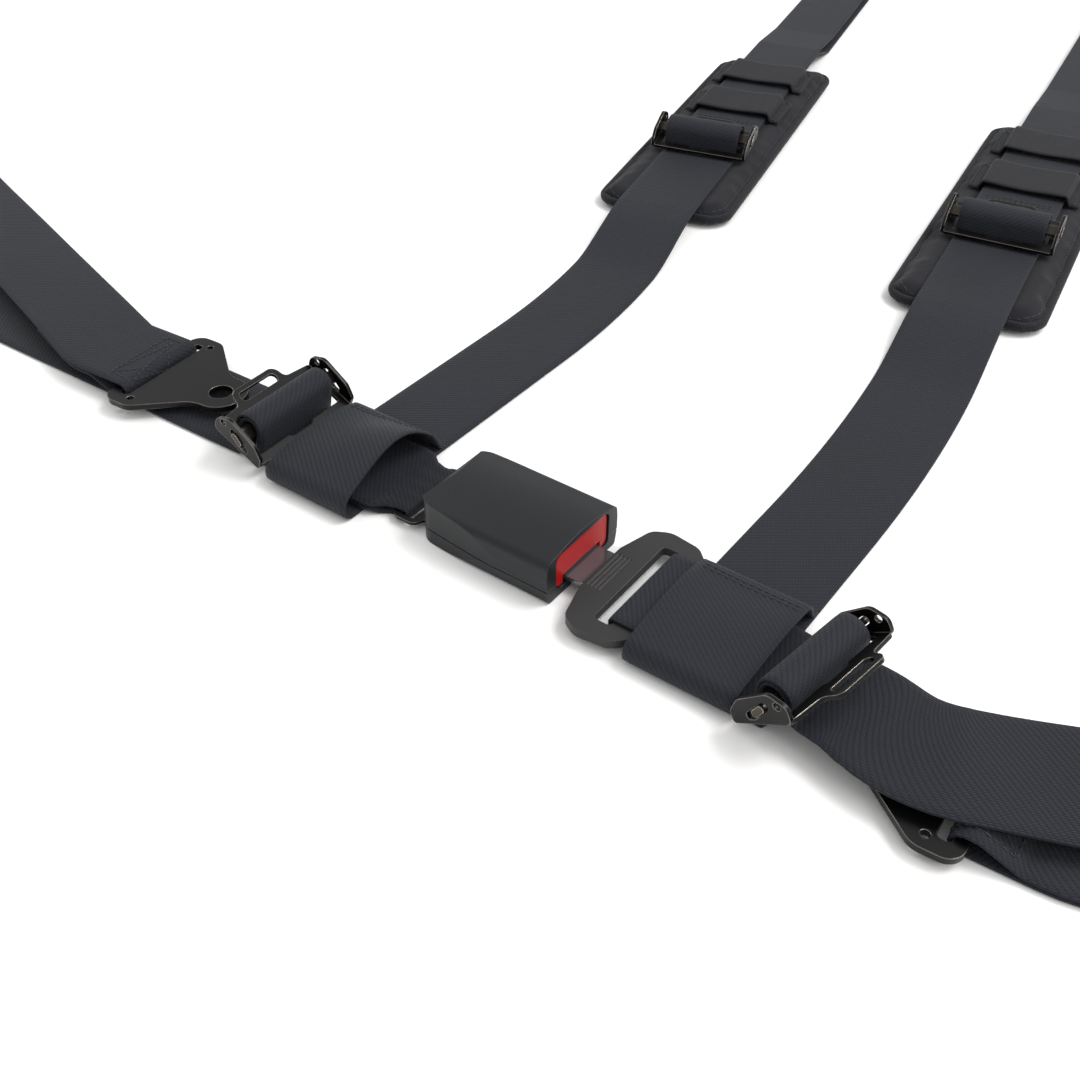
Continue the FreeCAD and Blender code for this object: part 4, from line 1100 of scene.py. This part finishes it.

# %% [markdown]
# ## Keepers
# Two short webbing loops are sewn across each pad, and they hold it to the doubled belt. They arch
# over the belt with a little slack.

# %% keepers
def keeper_route(side, run):
    leg, heading = LEGS[side]
    foot, high = WEB / 2 + 9, TABLE + PAD_HIGH
    top = high + THICK * 2 + LAYER + 2.2
    middle = on_heading(leg, heading, run)
    points = [(-foot, high + 0.8, 0), (-foot + 6, high + 0.8, 1.5), (-foot + 8, top, 2),
              (foot - 8, top, 2), (foot - 6, high + 0.8, 1.5), (foot, high + 0.8, 0)]
    return Route().upright(middle, heading + 90.0, points)


def keeper_lift(p, s, v):
    foot = 1.0 if p.z < TABLE + PAD_HIGH + 2.0 else 0.0
    return Vector((0, 0, foot * 1.5 + (1.0 - foot) * 0.5 * math.sin(s * 0.12)))


for side in SIDES:
    for place, run in (("near", PAD_RUN + 165.0), ("far", PAD_RUN + 225.0)):
        keeper = Belt(f"{side}_pad_keeper_{place}", f"{side}_pad", keeper_route(side, run),
                      TAPE, None, keeper_lift, web=38.0, columns=10)
        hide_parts(f"{side}_pad_keepers")
        feet = box_seam(0.8, 5.4, 17)[:1] + box_seam(keeper.length - 5.4, keeper.length - 0.8, 17)[:1]
        seam = stitched(f"{side}_keeper_{place}_seam", lambda run, wide, above, host=keeper:
                        host.at(run, wide / 19.0, above), feet, side=1.0, pitch=2.6)
        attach(seam, f"{side}_pad")

# %% [markdown]
# ## The table and the light
# The floor is a plain white sheet that runs far out. Three large soft lamps stand round the
# harness: the main one is high at the far right, so the shadows fall short and soft towards the
# view, and black cloth stays black because no lamp is mirrored straight into the camera.

# %% floor
def floor_finish():
    finish = Finish("floor", Specular_IOR_Level=0.2)
    place = finish.node("TexCoord", out="Object")
    grain = finish.cloud(place, 14.0)
    tint = finish.mixed(grain, colour(250, 249, 248), colour(254, 254, 253))
    return finish.surface(Base_Color=tint, Roughness=0.72 + grain * 0.1)


mesh = bmesh.new()
bmesh.ops.create_grid(mesh, x_segments=24, y_segments=24, size=6.0)
floor_mesh = bpy.data.meshes.new("floor")
mesh.to_mesh(floor_mesh)
mesh.free()
floor = bpy.data.objects.new("floor", floor_mesh)
bpy.context.scene.collection.objects.link(floor)
floor.location.z = -0.0002
wear(floor, floor_finish())
print("floor laid")

# %% lamps
def lamp(name, place, aim, size, power, tint=(1.0, 1.0, 1.0)):
    data = bpy.data.lights.new(name, "AREA")
    data.shape = "RECTANGLE"
    data.size, data.size_y = size
    data.energy = power
    data.color = tint
    made = bpy.data.objects.new(name, data)
    made.location = place
    made.rotation_euler = (Vector(aim) - Vector(place)).to_track_quat("-Z", "Y").to_euler()
    bpy.context.scene.collection.objects.link(made)
    return made


lamp("main", (0.95, 0.95, 1.9), (0.0, 0.1, 0.0), (1.3, 1.0), 34.0)
lamp("side", (1.6, -0.2, 1.3), (0.0, 0.1, 0.0), (1.0, 0.9), 9.0, (1.0, 0.985, 0.97))
lamp("rim", (-1.7, 0.2, 1.2), (0.0, 0.1, 0.0), (0.9, 0.7), 6.0)
world = bpy.data.worlds.new("studio")
bpy.context.scene.world = world
world.use_nodes = True
world.node_tree.nodes["Background"].inputs[0].default_value = (1.0, 1.0, 1.0, 1.0)
world.node_tree.nodes["Background"].inputs[1].default_value = 0.72
bpy.context.scene.view_settings.view_transform = "Standard"
print("three lamps lit")
